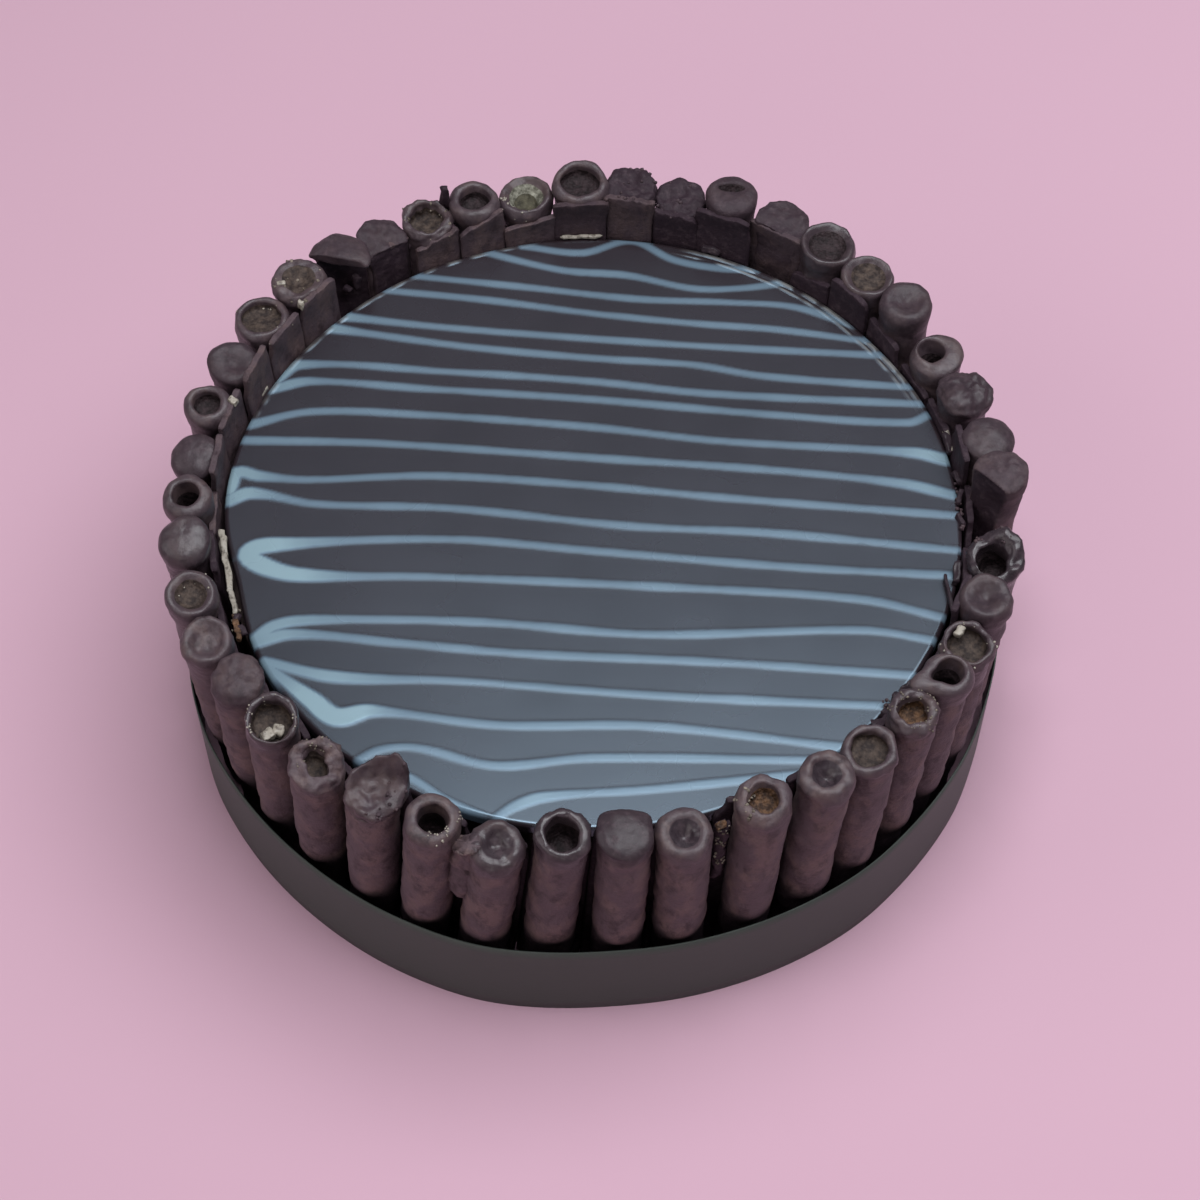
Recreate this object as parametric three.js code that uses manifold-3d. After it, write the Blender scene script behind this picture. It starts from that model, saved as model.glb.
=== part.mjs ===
// A round chocolate cake with a ganache top, ringed with upright chocolate-coated wafer rolls
// that a strip of dark card holds round their feet.
// Millimetres, +Z up, origin in the middle of the underside. +X is right and -Y is the front.
import * as THREE from "three";
import { mergeVertices } from "three/addons/utils/BufferGeometryUtils.js";
import Module from "manifold-3d";

const wasm = await Module();
wasm.setup();

// Driving dimensions of the cake
const CAKE_HEIGHT = 71.5;
const CAKE_FOOT_RADIUS = 99.2;
const CAKE_TOP_RADIUS = 103.6;
const CAKE_EDGE = 3;
const CAKE_SIDES = 64;

// Driving dimensions of the ganache and its drizzle
const LAYER_GAP = 0.3;
const GANACHE_THICKNESS = 3.7;
const GANACHE_RADIUS = 104.8;
const GANACHE_SIDES = 88;
const GANACHE_EDGE = 1.5;
const DRIZZLE_WIDTH = 2.9;
const DRIZZLE_RISE = 0.45;
const DRIZZLE_FLAT_SHARE = 0.5;
const DRIZZLE_STEPS = 14;
const TURN_STEPS = 5;

// Driving dimensions of the wafer rolls
const RING_RADIUS = 108;
const ROLL_RADIUS = 7.1;
const ROLL_GAP = 0.7;
const WIDEST_SET_BACK = 3;
const ROLL_LEAN_OUT = 4.3;
const ROLL_LEAN_SPREAD = 0.4;
const ROLL_SIDES = 12;
const ROLL_SEED = 7919;
const ROLL_SEED_STEP = 613;
const FOOT_PLATE_DROP = 5;
const FOOT_PLATE_SQUARENESS = 6;
const FOOT_PLATE_STEP = 0.5;
const LUMP = 0.22;
const LUMPS_AROUND = 3;
const LUMP_TWIST = 0.11;

// Driving dimensions of the rolls' four kinds of end
const COATING = 2.6;
const RIM_SWELL = 1.05;
const RIM_ROUND = 1.4;
const HOLE_DEPTH = 9;
const HOLE_TAPER = 0.85;
const BREAK_DEPTH = 3.5;
const BREAK_SLANT = 4;
const DIP_DEPTH = 2;
const DOME_HEIGHT = 2.6;
const END_SLANT = 1;

// Driving dimensions of the strip
const STRIP_HEIGHT = 33;
const STRIP_THICKNESS = 0.5;
const STRIP_CLEARANCE = 0.4;
const STRIP_LAP = { from: 84, to: 97, rise: 0.5 };
const STRIP_SIDES = 129;

// Driving dimensions of the broken slivers of roll that stand in two of the wider gaps
const SLIVER_DEPTH = 9;
const SLIVER_SIDES = 8;
const SLIVER_SLANT = 2;

// The rolls in clockwise order from the left: bearing of the foot in degrees, how far it stands out of the
// ring, sideways lean in degrees, height of the top, and how the roll ends there.
const ROLLS = [
  [163, 0, 2, 88, "open"],
  [155.4, 0, 1, 90, "broken"],
  [147.4, 0, 0, 89, "open"],
  [139, 0, 0, 91, "dipped"],
  [131, 0, 0, 92, "capped"],
  [123.4, 0, 0, 87, "broken"],
  [115.8, 0, 0, 88, "open"],
  [108.2, 0, 0, 90, "open"],
  [100.2, 0, 0, 87, "open"],
  [91.8, 0, 0, 92, "open"],
  [84, 0, 0, 90, "broken"],
  [76.4, 0, 0, 88, "broken"],
  [68.6, 0.8, 0, 93.5, "open"],
  [60, 0, 0, 90, "broken"],
  [52, 0, 0, 90, "dipped"],
  [44, 0, 0, 88, "open"],
  [36.2, 0, 0, 90, "capped"],
  [27.2, 0, 0, 85, "open"],
  [18.4, 0, 0, 88, "dipped"],
  [9.6, 0, -1, 89, "capped"],
  [1.6, 1.2, 0, 92, "dipped"],
  [349.8, 0, -1, 88, "open"],
  [341.6, 0.5, -1, 88, "dipped"],
  [333.8, 1, -0.5, 85, "open"],
  [326, 0.5, 0, 90, "open"],
  [318.4, 0.5, 0, 90.5, "open"],
  [310.3, 0.5, 0, 88.5, "open"],
  [301.8, 0, 1, 91, "capped"],
  [292.6, -0.5, 1, 91, "open"],
  [282.8, -1, -0.5, 84.5, "dipped"],
  [273.4, -1, 1.5, 87.5, "capped"],
  [262.6, -0.8, 5, 87.5, "open"],
  [253, 1.2, 7, 82.5, "dipped"],
  [244, 1, 7, 86.5, "open"],
  [235.4, 0.8, 6.5, 93, "broken"],
  [225.6, 0.5, 7.5, 86, "open"],
  [216.6, 0.5, 8, 88.5, "open"],
  [208.6, 1, 8, 90, "capped"],
  [200.6, 1.5, 8, 87, "dipped"],
  [192.8, 1.2, 7.5, 87, "open"],
  [185.2, -0.4, 5, 89, "capped"],
  [177.6, -0.6, 4.5, 87, "open"],
  [170.2, 0, 4, 87, "capped"],
];

// The slivers: bearing of the foot and sideways lean in degrees, height of the top, and width.
const SLIVERS = [
  [248.5, 7, 78, 1.9],
  [287.7, 0, 83, 2.8],
];

// Each drizzle stroke runs from its left end x to its right end x, at five evenly spaced heights y.
const STROKES = [
  { left: -20, right: 48, y: [100, 98.5, 102, 94, 92] },
  { left: -30, right: 58, y: [97.5, 91.5, 89, 84.5, 85] },
  { left: -52, right: 74, y: [89, 85, 80.5, 79, 71.5] },
  { left: -58, right: 80, y: [83, 78.5, 73, 70, 64] },
  { left: -72, right: 83, y: [73, 68, 64, 60.5, 58] },
  { left: -77, right: 90, y: [68, 61.5, 57, 50.5, 46.5] },
  { left: -86, right: 94, y: [54.5, 52, 48, 42, 40] },
  { left: -88, right: 95, y: [48, 45, 41, 36, 33.5] },
  { left: -95, right: 100, y: [35, 35.5, 31, 25, 20] },
  { left: -99, right: 101, y: [26, 24.5, 20, 15.5, 7] },
  { left: -99, right: 102, y: [14, 13, 9.5, 4, -1] },
  { left: -99, right: 101, y: [6.5, 2, -3.5, -7.5, -13] },
  { left: -93, right: 98, y: [-12, -9.5, -13.5, -18.5, -22] },
  { left: -92, right: 95, y: [-19.5, -22.5, -25.5, -27.5, -36] },
  { left: -88, right: 93, y: [-39.5, -38, -41.5, -41.5, -44] },
  { left: -88, right: 80, y: [-43, -46, -50, -52, -55.5] },
  { left: -86, right: 71, y: [-52, -57.5, -61, -63, -65] },
  { left: -69, right: 61, y: [-69.5, -70, -72.5, -73, -77.5] },
  { left: -60, right: 55, y: [-82, -84, -82.5, -83, -83] },
  { left: -24, right: 52, y: [-99.5, -94, -92.5, -90.5, -88] },
];

// The thicker turns at the left, where one stroke runs back into the next.
const TURNS = [
  { width: 4.5, way: [[-93, -12], [-97.5, -14.5], [-97.5, -17.5], [-90, -20.5], [-80, -22]] },
  { width: 4, way: [[-88, -39.5], [-92, -44], [-86, -42.5]] },
  { width: 5.5, way: [[-86, -52], [-82, -58], [-76, -64], [-69, -69.5], [-60, -68]] },
  { width: 3.5, way: [[-60, -82], [-57, -85.5], [-42, -94], [-24, -99.5]] },
  { width: 3.6, way: [[-99, 14], [-101.5, 10], [-99, 6.5]] },
];

const radians = THREE.MathUtils.degToRad;

const FINISH = {
  sponge: new THREE.MeshStandardMaterial({ color: "#2c2022", roughness: 0.7, metalness: 0 }),
  ganache: new THREE.MeshStandardMaterial({ color: "#3a3236", roughness: 0.2, metalness: 0 }),
  chocolate: new THREE.MeshStandardMaterial({ color: "#4b3a3f", roughness: 0.45, metalness: 0 }),
  card: new THREE.MeshStandardMaterial({ color: "#393035", roughness: 0.6, metalness: 0 }),
};

// Repeatable random numbers from 0 to 1, one stream for each seed.
function stream(seed) {
  let state = seed;
  return () => {
    state = (state * 16807) % 2147483647;
    return state / 2147483647;
  };
}

// A solid of revolution about Z from a profile of [radius, height] pairs, bottom first.
function turned(profile, sides) {
  const points = profile.map(([radius, height]) => new THREE.Vector2(radius, height));
  return new THREE.LatheGeometry(points, sides).rotateX(Math.PI / 2);
}

// Moves each vertex of a geometry by a function of its position.
function shaped(geometry, move) {
  const position = geometry.getAttribute("position");
  const point = new THREE.Vector3();
  for (let i = 0; i < position.count; i += 1) {
    point.fromBufferAttribute(position, i);
    move(point);
    position.setXYZ(i, point.x, point.y, point.z);
  }
  return geometry;
}

// A closed geometry as a solid that can be joined to others.
function solidOf(geometry) {
  const bare = geometry.clone();
  bare.deleteAttribute("normal");
  bare.deleteAttribute("uv");
  const merged = mergeVertices(bare, 1e-3);
  const vertProperties = merged.getAttribute("position").array;
  const triVerts = new Uint32Array(merged.index.array);
  return new wasm.Manifold(new wasm.Mesh({ numProp: 3, vertProperties, triVerts }));
}

// A solid back as a geometry.
function geometryOf(solid) {
  const { vertProperties, triVerts } = solid.getMesh();
  const geometry = new THREE.BufferGeometry();
  geometry.setAttribute("position", new THREE.BufferAttribute(vertProperties, 3));
  geometry.setIndex(new THREE.BufferAttribute(triVerts, 1));
  geometry.computeVertexNormals();
  return geometry;
}

function named(name, geometry, finish) {
  const mesh = new THREE.Mesh(geometry, finish);
  mesh.name = name;
  return mesh;
}

// The cake itself is uncut, so it is one solid with a softly rounded top edge.
function cakeBody() {
  const shoulder = CAKE_HEIGHT - CAKE_EDGE;
  const profile = [
    [0, 0],
    [CAKE_FOOT_RADIUS, 0],
    [CAKE_TOP_RADIUS, shoulder],
    [CAKE_TOP_RADIUS - CAKE_EDGE, CAKE_HEIGHT],
    [0, CAKE_HEIGHT],
  ];
  return named("cake_body", turned(profile, CAKE_SIDES), FINISH.sponge);
}

// One line of drizzle: a flat band with bevelled edges, half sunk in the ganache.
function drizzleLine(way, width, steps, level) {
  const half = width / 2;
  const flat = half * DRIZZLE_FLAT_SHARE;
  const section = new THREE.Shape();
  section.moveTo(0, -half);
  section.lineTo(DRIZZLE_RISE, -flat);
  section.lineTo(DRIZZLE_RISE, flat);
  section.lineTo(0, half);
  section.lineTo(-DRIZZLE_RISE, flat);
  section.lineTo(-DRIZZLE_RISE, -flat);
  section.closePath();
  const path = new THREE.CatmullRomCurve3(way.map(([x, y]) => new THREE.Vector3(x, y, level)));
  return new THREE.ExtrudeGeometry(section, { steps, extrudePath: path, bevelEnabled: false });
}

// The ganache is a round-edged slab with the drizzle standing a little above it.
function ganacheTop() {
  const bottom = CAKE_HEIGHT + LAYER_GAP;
  const top = bottom + GANACHE_THICKNESS;
  const profile = [
    [0, bottom],
    [GANACHE_RADIUS - GANACHE_EDGE, bottom],
    [GANACHE_RADIUS, top - GANACHE_EDGE],
    [GANACHE_RADIUS - GANACHE_EDGE, top],
    [0, top],
  ];
  let solid = solidOf(turned(profile, GANACHE_SIDES));
  const strokes = STROKES.map(({ left, right, y }) => {
    const way = y.map((height, i) => [THREE.MathUtils.lerp(left, right, i / (y.length - 1)), height]);
    return drizzleLine(way, DRIZZLE_WIDTH, DRIZZLE_STEPS, top);
  });
  const turns = TURNS.map(({ width, way }) => drizzleLine(way, width, TURN_STEPS, top));
  for (const line of [...strokes, ...turns]) solid = solid.add(solidOf(line));
  return named("ganache_top", geometryOf(solid), FINISH.ganache);
}

// Half profile of a roll, from the foot up to one of its four kinds of end.
function rollProfile(radius, length, end) {
  const bore = radius - COATING;
  const lip = radius - RIM_ROUND;
  const swollen = radius * RIM_SWELL;
  const plateTop = length - FOOT_PLATE_DROP;
  const side = [
    [0, 0],
    [radius, 0],
    [radius, plateTop - FOOT_PLATE_STEP],
    [radius, plateTop],
  ];
  const ends = {
    open: [
      [swollen, length - RIM_ROUND],
      [lip, length],
      [bore, length - RIM_ROUND],
      [bore * HOLE_TAPER, length - HOLE_DEPTH],
      [0, length - HOLE_DEPTH],
    ],
    broken: [
      [radius, length - RIM_ROUND],
      [lip, length],
      [bore, length - BREAK_DEPTH / 2],
      [0, length - BREAK_DEPTH],
    ],
    dipped: [
      [swollen, length - RIM_ROUND],
      [lip, length],
      [bore, length - DIP_DEPTH / 2],
      [0, length - DIP_DEPTH],
    ],
    capped: [
      [swollen, length - DOME_HEIGHT],
      [lip, length - DOME_HEIGHT / 4],
      [0, length],
    ],
  };
  return [...side, ...ends[end]];
}

// A wafer roll in its own frame, foot at the origin and the flat plate of its coating towards -X.
function rollGeometry(radius, length, end, random) {
  const bore = radius - COATING;
  const plateTop = length - FOOT_PLATE_DROP;
  const slantTowards = random() * Math.PI * 2;
  const slant = end === "broken" ? BREAK_SLANT : END_SLANT;
  const phase = random() * Math.PI * 2;
  return shaped(turned(rollProfile(radius, length, end), ROLL_SIDES), (point) => {
    const reach = Math.hypot(point.x, point.y);
    if (reach === 0) return;
    const around = Math.atan2(point.y, point.x);
    const risen = Math.max(0, point.z - plateTop) / FOOT_PLATE_DROP;
    let swell = 1;
    if (point.x < 0 && reach > bore && point.z < plateTop - FOOT_PLATE_STEP / 2) {
      const power = FOOT_PLATE_SQUARENESS;
      const across = Math.abs(Math.cos(around)) ** power + Math.abs(Math.sin(around)) ** power;
      swell = across ** (-1 / power);
    }
    swell += (LUMP / radius) * Math.sin(LUMPS_AROUND * around + phase + LUMP_TWIST * point.z);
    point.x *= swell;
    point.y *= swell;
    const towards = (1 + Math.cos(around - slantTowards)) / 2;
    point.z -= slant * towards * risen * (reach / radius);
  });
}

// Radius of a roll: the full one, or less where its neighbours' feet leave less room.
function fittingRadius(index) {
  const bearing = ROLLS[index][0];
  const neighbours = [ROLLS.at(index - 1), ROLLS[(index + 1) % ROLLS.length]];
  const turns = neighbours.map(([other]) => Math.abs(((other - bearing + 540) % 360) - 180));
  const pitch = radians(Math.min(...turns)) * (RING_RADIUS - WIDEST_SET_BACK);
  return Math.min(ROLL_RADIUS, (pitch - ROLL_GAP) / 2);
}

// Sets a piece in the ring: turned to its bearing, leaned out and sideways, and dropped on to the floor.
function standing(piece, bearing, out, leanOut, leanSideways) {
  piece.position.x = RING_RADIUS + out;
  piece.rotation.set(radians(-leanSideways), radians(leanOut), 0);
  const slot = new THREE.Group();
  slot.rotation.z = radians(bearing);
  slot.add(piece);
  const box = new THREE.Box3().setFromObject(slot, true);
  piece.position.z -= box.min.z;
  return slot;
}

function standingRoll([bearing, out, leanSideways, top, end], index) {
  const random = stream(ROLL_SEED + ROLL_SEED_STEP * index);
  random();
  const leanOut = ROLL_LEAN_OUT + ROLL_LEAN_SPREAD * (2 * random() - 1);
  const length = top / Math.cos(radians(leanOut)) / Math.cos(radians(leanSideways));
  const name = `roll_${String(index + 1).padStart(2, "0")}`;
  const geometry = rollGeometry(fittingRadius(index), length, end, random);
  return standing(named(name, geometry, FINISH.chocolate), bearing, out, leanOut, leanSideways);
}

// A sliver is a flattened round with a slanting broken top.
function standingSliver([bearing, leanSideways, top, width], index) {
  const profile = [
    [0, 0],
    [1, 0],
    [1, top],
    [0, top],
  ];
  const geometry = shaped(turned(profile, SLIVER_SIDES), (point) => {
    if (point.z > 0) point.z += SLIVER_SLANT * point.x;
    point.x *= SLIVER_DEPTH / 2;
    point.y *= width / 2;
  });
  const piece = named(`sliver_0${index + 1}`, geometry, FINISH.chocolate);
  return standing(piece, bearing, 0, ROLL_LEAN_OUT, leanSideways);
}

// Where each roll comes nearest to the strip, at its top edge, as a bearing and a distance from the middle.
function stripTouches() {
  const leanOut = radians(ROLL_LEAN_OUT + ROLL_LEAN_SPREAD);
  return ROLLS.map(([bearing, out, leanSideways], index) => {
    const axis = RING_RADIUS + out + STRIP_HEIGHT * Math.tan(leanOut);
    const swing = Math.atan((STRIP_HEIGHT * Math.tan(radians(leanSideways))) / axis);
    const reach = axis / Math.cos(swing) + fittingRadius(index) + LUMP + STRIP_CLEARANCE;
    return [radians(bearing) + swing, reach];
  });
}

// The strip stands upright and is pulled taut round the rolls, with its ends lapped at the back.
function strip() {
  const touches = stripTouches();
  const taut = touches.map(([bearing, reach], i) => {
    const before = touches.at(i - 1)[1];
    const after = touches[(i + 1) % touches.length][1];
    const stretch = Math.max(reach, (before + after) / 2);
    return new THREE.Vector3(stretch * Math.cos(bearing), stretch * Math.sin(bearing), 0);
  });
  const round = new THREE.CatmullRomCurve3(taut.reverse(), true).getSpacedPoints(STRIP_SIDES).slice(1);
  const wall = (thickness) =>
    round.map(({ x, y }) => {
      const bearing = THREE.MathUtils.radToDeg(Math.atan2(y, x));
      const lapped = bearing > STRIP_LAP.from && bearing < STRIP_LAP.to;
      const rise = thickness > 0 && lapped ? STRIP_LAP.rise : 0;
      const reach = Math.hypot(x, y);
      return new THREE.Vector2(x, y).multiplyScalar((reach + thickness + rise) / reach);
    });
  const outline = new THREE.Shape(wall(STRIP_THICKNESS));
  outline.holes.push(new THREE.Path(wall(0)));
  const geometry = new THREE.ExtrudeGeometry(outline, { depth: STRIP_HEIGHT, bevelEnabled: false });
  return named("strip", geometry, FINISH.card);
}

const cake = new THREE.Group();
cake.add(cakeBody(), ganacheTop(), strip());
ROLLS.forEach((roll, index) => cake.add(standingRoll(roll, index)));
SLIVERS.forEach((sliver, index) => cake.add(standingSliver(sliver, index)));

export default cake;
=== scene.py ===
import math
import random
from collections import Counter

import bmesh
import bpy
from mathutils import Matrix, Vector, noise
from mathutils.geometry import interpolate_bezier
from mathutils.kdtree import KDTree


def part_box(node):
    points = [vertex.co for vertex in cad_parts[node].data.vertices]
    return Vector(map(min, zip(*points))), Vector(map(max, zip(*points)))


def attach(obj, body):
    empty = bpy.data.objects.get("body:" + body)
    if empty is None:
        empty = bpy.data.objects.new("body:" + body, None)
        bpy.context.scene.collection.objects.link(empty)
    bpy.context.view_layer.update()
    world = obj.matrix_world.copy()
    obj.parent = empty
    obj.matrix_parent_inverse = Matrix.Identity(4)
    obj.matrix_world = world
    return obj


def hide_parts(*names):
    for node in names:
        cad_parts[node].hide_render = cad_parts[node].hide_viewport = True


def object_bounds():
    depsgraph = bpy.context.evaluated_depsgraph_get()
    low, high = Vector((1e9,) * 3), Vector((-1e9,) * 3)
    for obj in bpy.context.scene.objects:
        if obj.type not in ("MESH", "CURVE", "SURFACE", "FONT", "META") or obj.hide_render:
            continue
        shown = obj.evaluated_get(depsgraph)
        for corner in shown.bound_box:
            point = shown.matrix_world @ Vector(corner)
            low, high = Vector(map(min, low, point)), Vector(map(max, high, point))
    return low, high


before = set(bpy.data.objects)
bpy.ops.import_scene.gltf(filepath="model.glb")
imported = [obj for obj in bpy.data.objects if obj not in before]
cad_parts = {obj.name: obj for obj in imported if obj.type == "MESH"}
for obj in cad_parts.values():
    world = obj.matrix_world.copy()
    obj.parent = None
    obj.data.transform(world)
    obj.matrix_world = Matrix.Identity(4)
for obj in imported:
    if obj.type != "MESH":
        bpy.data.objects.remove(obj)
cad_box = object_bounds()

# Shapes are worked out in millimetres and made metres when a piece is finished.
MM = 0.001

# The noise that moves corners is the same on every run.
noise.seed_set(3)

# Rolls. A zone is where something starts and where it is whole, as distances below an end, and a band is
# the same as distances above the strip's top edge. A wave is its depth, how many go round the roll, and how
# far on in the noise each next roll is. The rolls at the front and at the back are those that stand further
# than FRONT_AND_BACK from the line across the middle.
ROLL_STEPS = 48
BODY_RING = 2.0
HEAD_RING = 0.5
HEAD_ZONE = 12.0
FOOT_BEVEL = 0.8
FOOT_NARROWING = 0.22
FOOT_BAND = (-5.0, 1.0)
# SHADE_BAND is where the painted shade of the pocket behind the strip fades in.
SHADE_BAND = (-2.0, 4.0)
FRONT_AND_BACK = 50.0
# Plates of rolls beyond this bearing, at the back left, are painted lighter, as where more light falls on
# them.
BACK_LEFT = math.radians(95)
SHOULDER_RINGS = 9
RIM_RINGS = 5
HOLE_RINGS = 14
BOWL_RINGS = 16
DOME_RINGS = 16
BREAK_RINGS = 14
RIM_LIP = 0.9
BOWL_LINING = 0.2
DOME_FULLNESS = 0.75
LINING_FLOOR = 0.8
SHIFT_ZONE = (9.0, 4.0)
SWELL_ZONE = (10.0, 3.0)
BUMP_ZONE = (5.0, 2.0)
SHARD_ZONE = (4.0, 1.0)
ROUGH_ZONE = (8.0, 3.0)
SETTLE_ZONE = (12.0, 3.0)
SHARD_ENDS = (0.5, 1.0)
SHARD_RIM = (0.5, 0.95)
SLOPE_RADII = (2.2, 0.4)
OUTER_SIDE = (-0.4, 0.6)
OUTER_SWELL_LOSS = 0.6
FLANGE_RAMP = 1.2
FACET_TOP_RAMP = 0.4
FACET_FOOT_RAMP = 1.0
FACET_BLEND = 0.4
COAT_BLEND = 3.0
COAT_WAVES = [(2.5, 1.3, 3.0), (0.8, 4.0, 5.0)]
LUMP_SIZE = (9.0, 9.0, 5.5)
LUMP_DEPTH = 0.55
DENT_SIZE = 4.0
DENT_DEPTH = 0.25
GRAIN_SIZE = 2.0
GRAIN_DEPTH = 0.12
RAGGED_DEPTH = 0.9
RAGGED_COARSE = 0.6

# The plates down the rolls' inner sides. A break is a wave along the top edge: its share, how many there
# are, and how far on in the noise each next roll is.
PLATE_CUTS = 16
PLATE_THICKNESS = 2.0
PLATE_FOOT = 0.0
PLATE_LEAN = 40.0
PLATE_GAP = 0.03
PLATE_CROWDING = 2.5
PLATE_RAGGED = 0.9
PLATE_CORNER_DROP = 0.6
PLATE_EDGE_THINNING = 0.35
PLATE_TOP_ZONE = (8.0, 2.0)
PLATE_BREAKS = [(1.0, 2.5, 11.0), (0.5, 8.0, 13.0)]
PLATE_WANDER = 0.5
PLATE_WAVE = 4.0
PLATE_WAVE_DEPTH = 0.35

# Ganache and drizzle
GANACHE_RADIUS = 105.0
GANACHE_ROWS = 620
GANACHE_COLUMNS = 120
GANACHE_EDGE = 1.4
GANACHE_EDGE_RINGS = 5
DRIZZLE_HALF_WIDTH = 1.2
DRIZZLE_SOFTNESS = 0.7
DRIZZLE_RELIEF = 0.1
DRIZZLE_COVER = 0.67
DRIZZLE_SAMPLE = 1.0
DRIZZLE_WAVE = 17.0
DRIZZLE_WANDER = 0.25
RIM_WAVES = 3
RIM_WANDER = 0.5
RIM_SHARPNESS = 12
LIP_BAND = (0.99, 0.998)
INNER_LIP = 0.981
INNER_LIP_WIDTH = 0.003
LIP_FADE = 12.0
LIP_CRUMB = 4.0
LIP_RISE = 0.3

# Slivers. A wave is its share of the raggedness and its size.
SLIVER_SIDES = 24
SLIVER_CUTS = 70
SLIVER_FOOT = 34.0
SLIVER_TAPER = 22.0
SLIVER_LEAST = 0.2
SLIVER_SINK = 9.0
SLIVER_SLANT = 0.5
SLIVER_SLANT_DEPTH = 12.0
SLIVER_WAVES = [(1.0, 3.0), (0.6, 1.3)]
SLIVER_BREAK = 2.0
SLIVER_BREAK_DEPTH = 2.5
SLIVER_BREAK_SIZE = 2.0

# Strip
STRIP_THICKNESS = 0.45
STRIP_STEP = 1.0
STRIP_CUTS = 7
STRIP_LAP = (84.0, 97.0)
STRIP_LAP_RAMP = 8.0
STRIP_LAP_GAP = 0.05
STRIP_SMOOTHING = 2.0
STRIP_FLARE = 0.4

# Bits and crumbs. A wave is its depth as a share of the bit's least size, its own size, and how far on in
# the noise each next bit is.
BIT_CUTS = 5
BIT_BALL = 0.55
BIT_ROUNDING = 0.35
BIT_WAVES = [(0.3, 3.0, 17.0), (0.25, 1.4, 31.0)]
CRUMB_DARKNESS = 0.6
CRUMB_SEED = 4201
CRUMB_SIZES = (0.35, 1.0)
CRUMB_UNEVENNESS = (0.65, 1.25)
CRUMB_PATCH = 3 * MM
CRUMB_STEEPEST = -0.1
CRUMB_SIDE = 0.5

# Camera: a 90 mm lens on a 36 mm sensor, at the photo's own angle
LENS = 90.0
SENSOR = 36.0
CAMERA_PLACE = (2.43, -515.84, 755.05)
CAMERA_TARGET = (2.43, 23.27, 0.0)

# The floor, and soft panels by their name, size, place and target in metres, radiance and colour
FLOOR_RADIUS = 6
FLOOR_COLOUR = "#b28f9f"
FLOOR_ROUGHNESS = 0.9
ROOM_COLOUR = "#d8d6d8"
ROOM_LIGHT = 0.26
PANELS = [
    ("overhead", (1.3, 1.15), (0.47, 0.08, 1.3), (0.47, 0.08, 0.0), 5.9, "#f4f7fb"),
    ("lamp", (0.3, 0.3), (-0.1, -0.1, 1.3), (0.0, 0.0, 0.0), 15, "#f4f7fb"),
    ("front", (1.4, 0.8), (-0.75, -1.5, 0.8), (0.0, 0.0, 0.05), 1.65, "#fff6f2"),
    ("left", (0.9, 0.9), (-1.25, -0.25, 0.95), (-0.15, 0.0, 0.0), 2.2, "#f8f6f6"),
]


def linear(colour):
    """An sRGB hex colour as linear red, green, blue and alpha."""
    channels = [int(colour[i:i + 2], 16) / 255 for i in (1, 3, 5)]
    return [c / 12.92 if c <= 0.04045 else ((c + 0.055) / 1.055) ** 2.4 for c in channels] + [1.0]


def per(size):
    """The scale of a pattern whose features are that many millimetres across."""
    return 1 / (size * MM)


def ease(low, high, value):
    """Runs smoothly from 0 at low to 1 at high."""
    share = min(1.0, max(0.0, (value - low) / (high - low)))
    return share * share * (3 - 2 * share)


def wander(angle, waves, drift):
    """Noise that comes back to itself round a circle, with another course for each drift."""
    return noise.noise(Vector((waves * math.cos(angle), waves * math.sin(angle), drift)))


def near_end(zone, length, z):
    """Runs from 0 where a zone below an end starts to 1 where it is whole."""
    start, whole = zone
    return ease(length - start, length - whole, z)


def spread(count):
    """Evenly spaced shares from just above 0 up to 1."""
    return [(i + 1) / count for i in range(count)]


def only(kind, items):
    """The corners, edges or faces among what a change to a mesh gives back."""
    return [item for item in items if isinstance(item, kind)]


def feed(tree, made, inputs):
    """Sets or links the inputs of a node."""
    for name, value in inputs.items():
        if isinstance(value, bpy.types.NodeSocket):
            tree.links.new(value, made.inputs[name])
        else:
            made.inputs[name].default_value = value


def node(tree, kind, inputs, **settings):
    """Adds a node with its settings and inputs."""
    made = tree.nodes.new("ShaderNode" + kind)
    for name, value in settings.items():
        setattr(made, name, value)
    feed(tree, made, inputs)
    return made


def material(name):
    """A new material, with its node tree, its shader and its object coordinates."""
    made = bpy.data.materials.new(name)
    made.use_nodes = True
    tree = made.node_tree
    return made, tree, tree.nodes["Principled BSDF"], node(tree, "TexCoord", {}).outputs["Object"]


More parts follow.
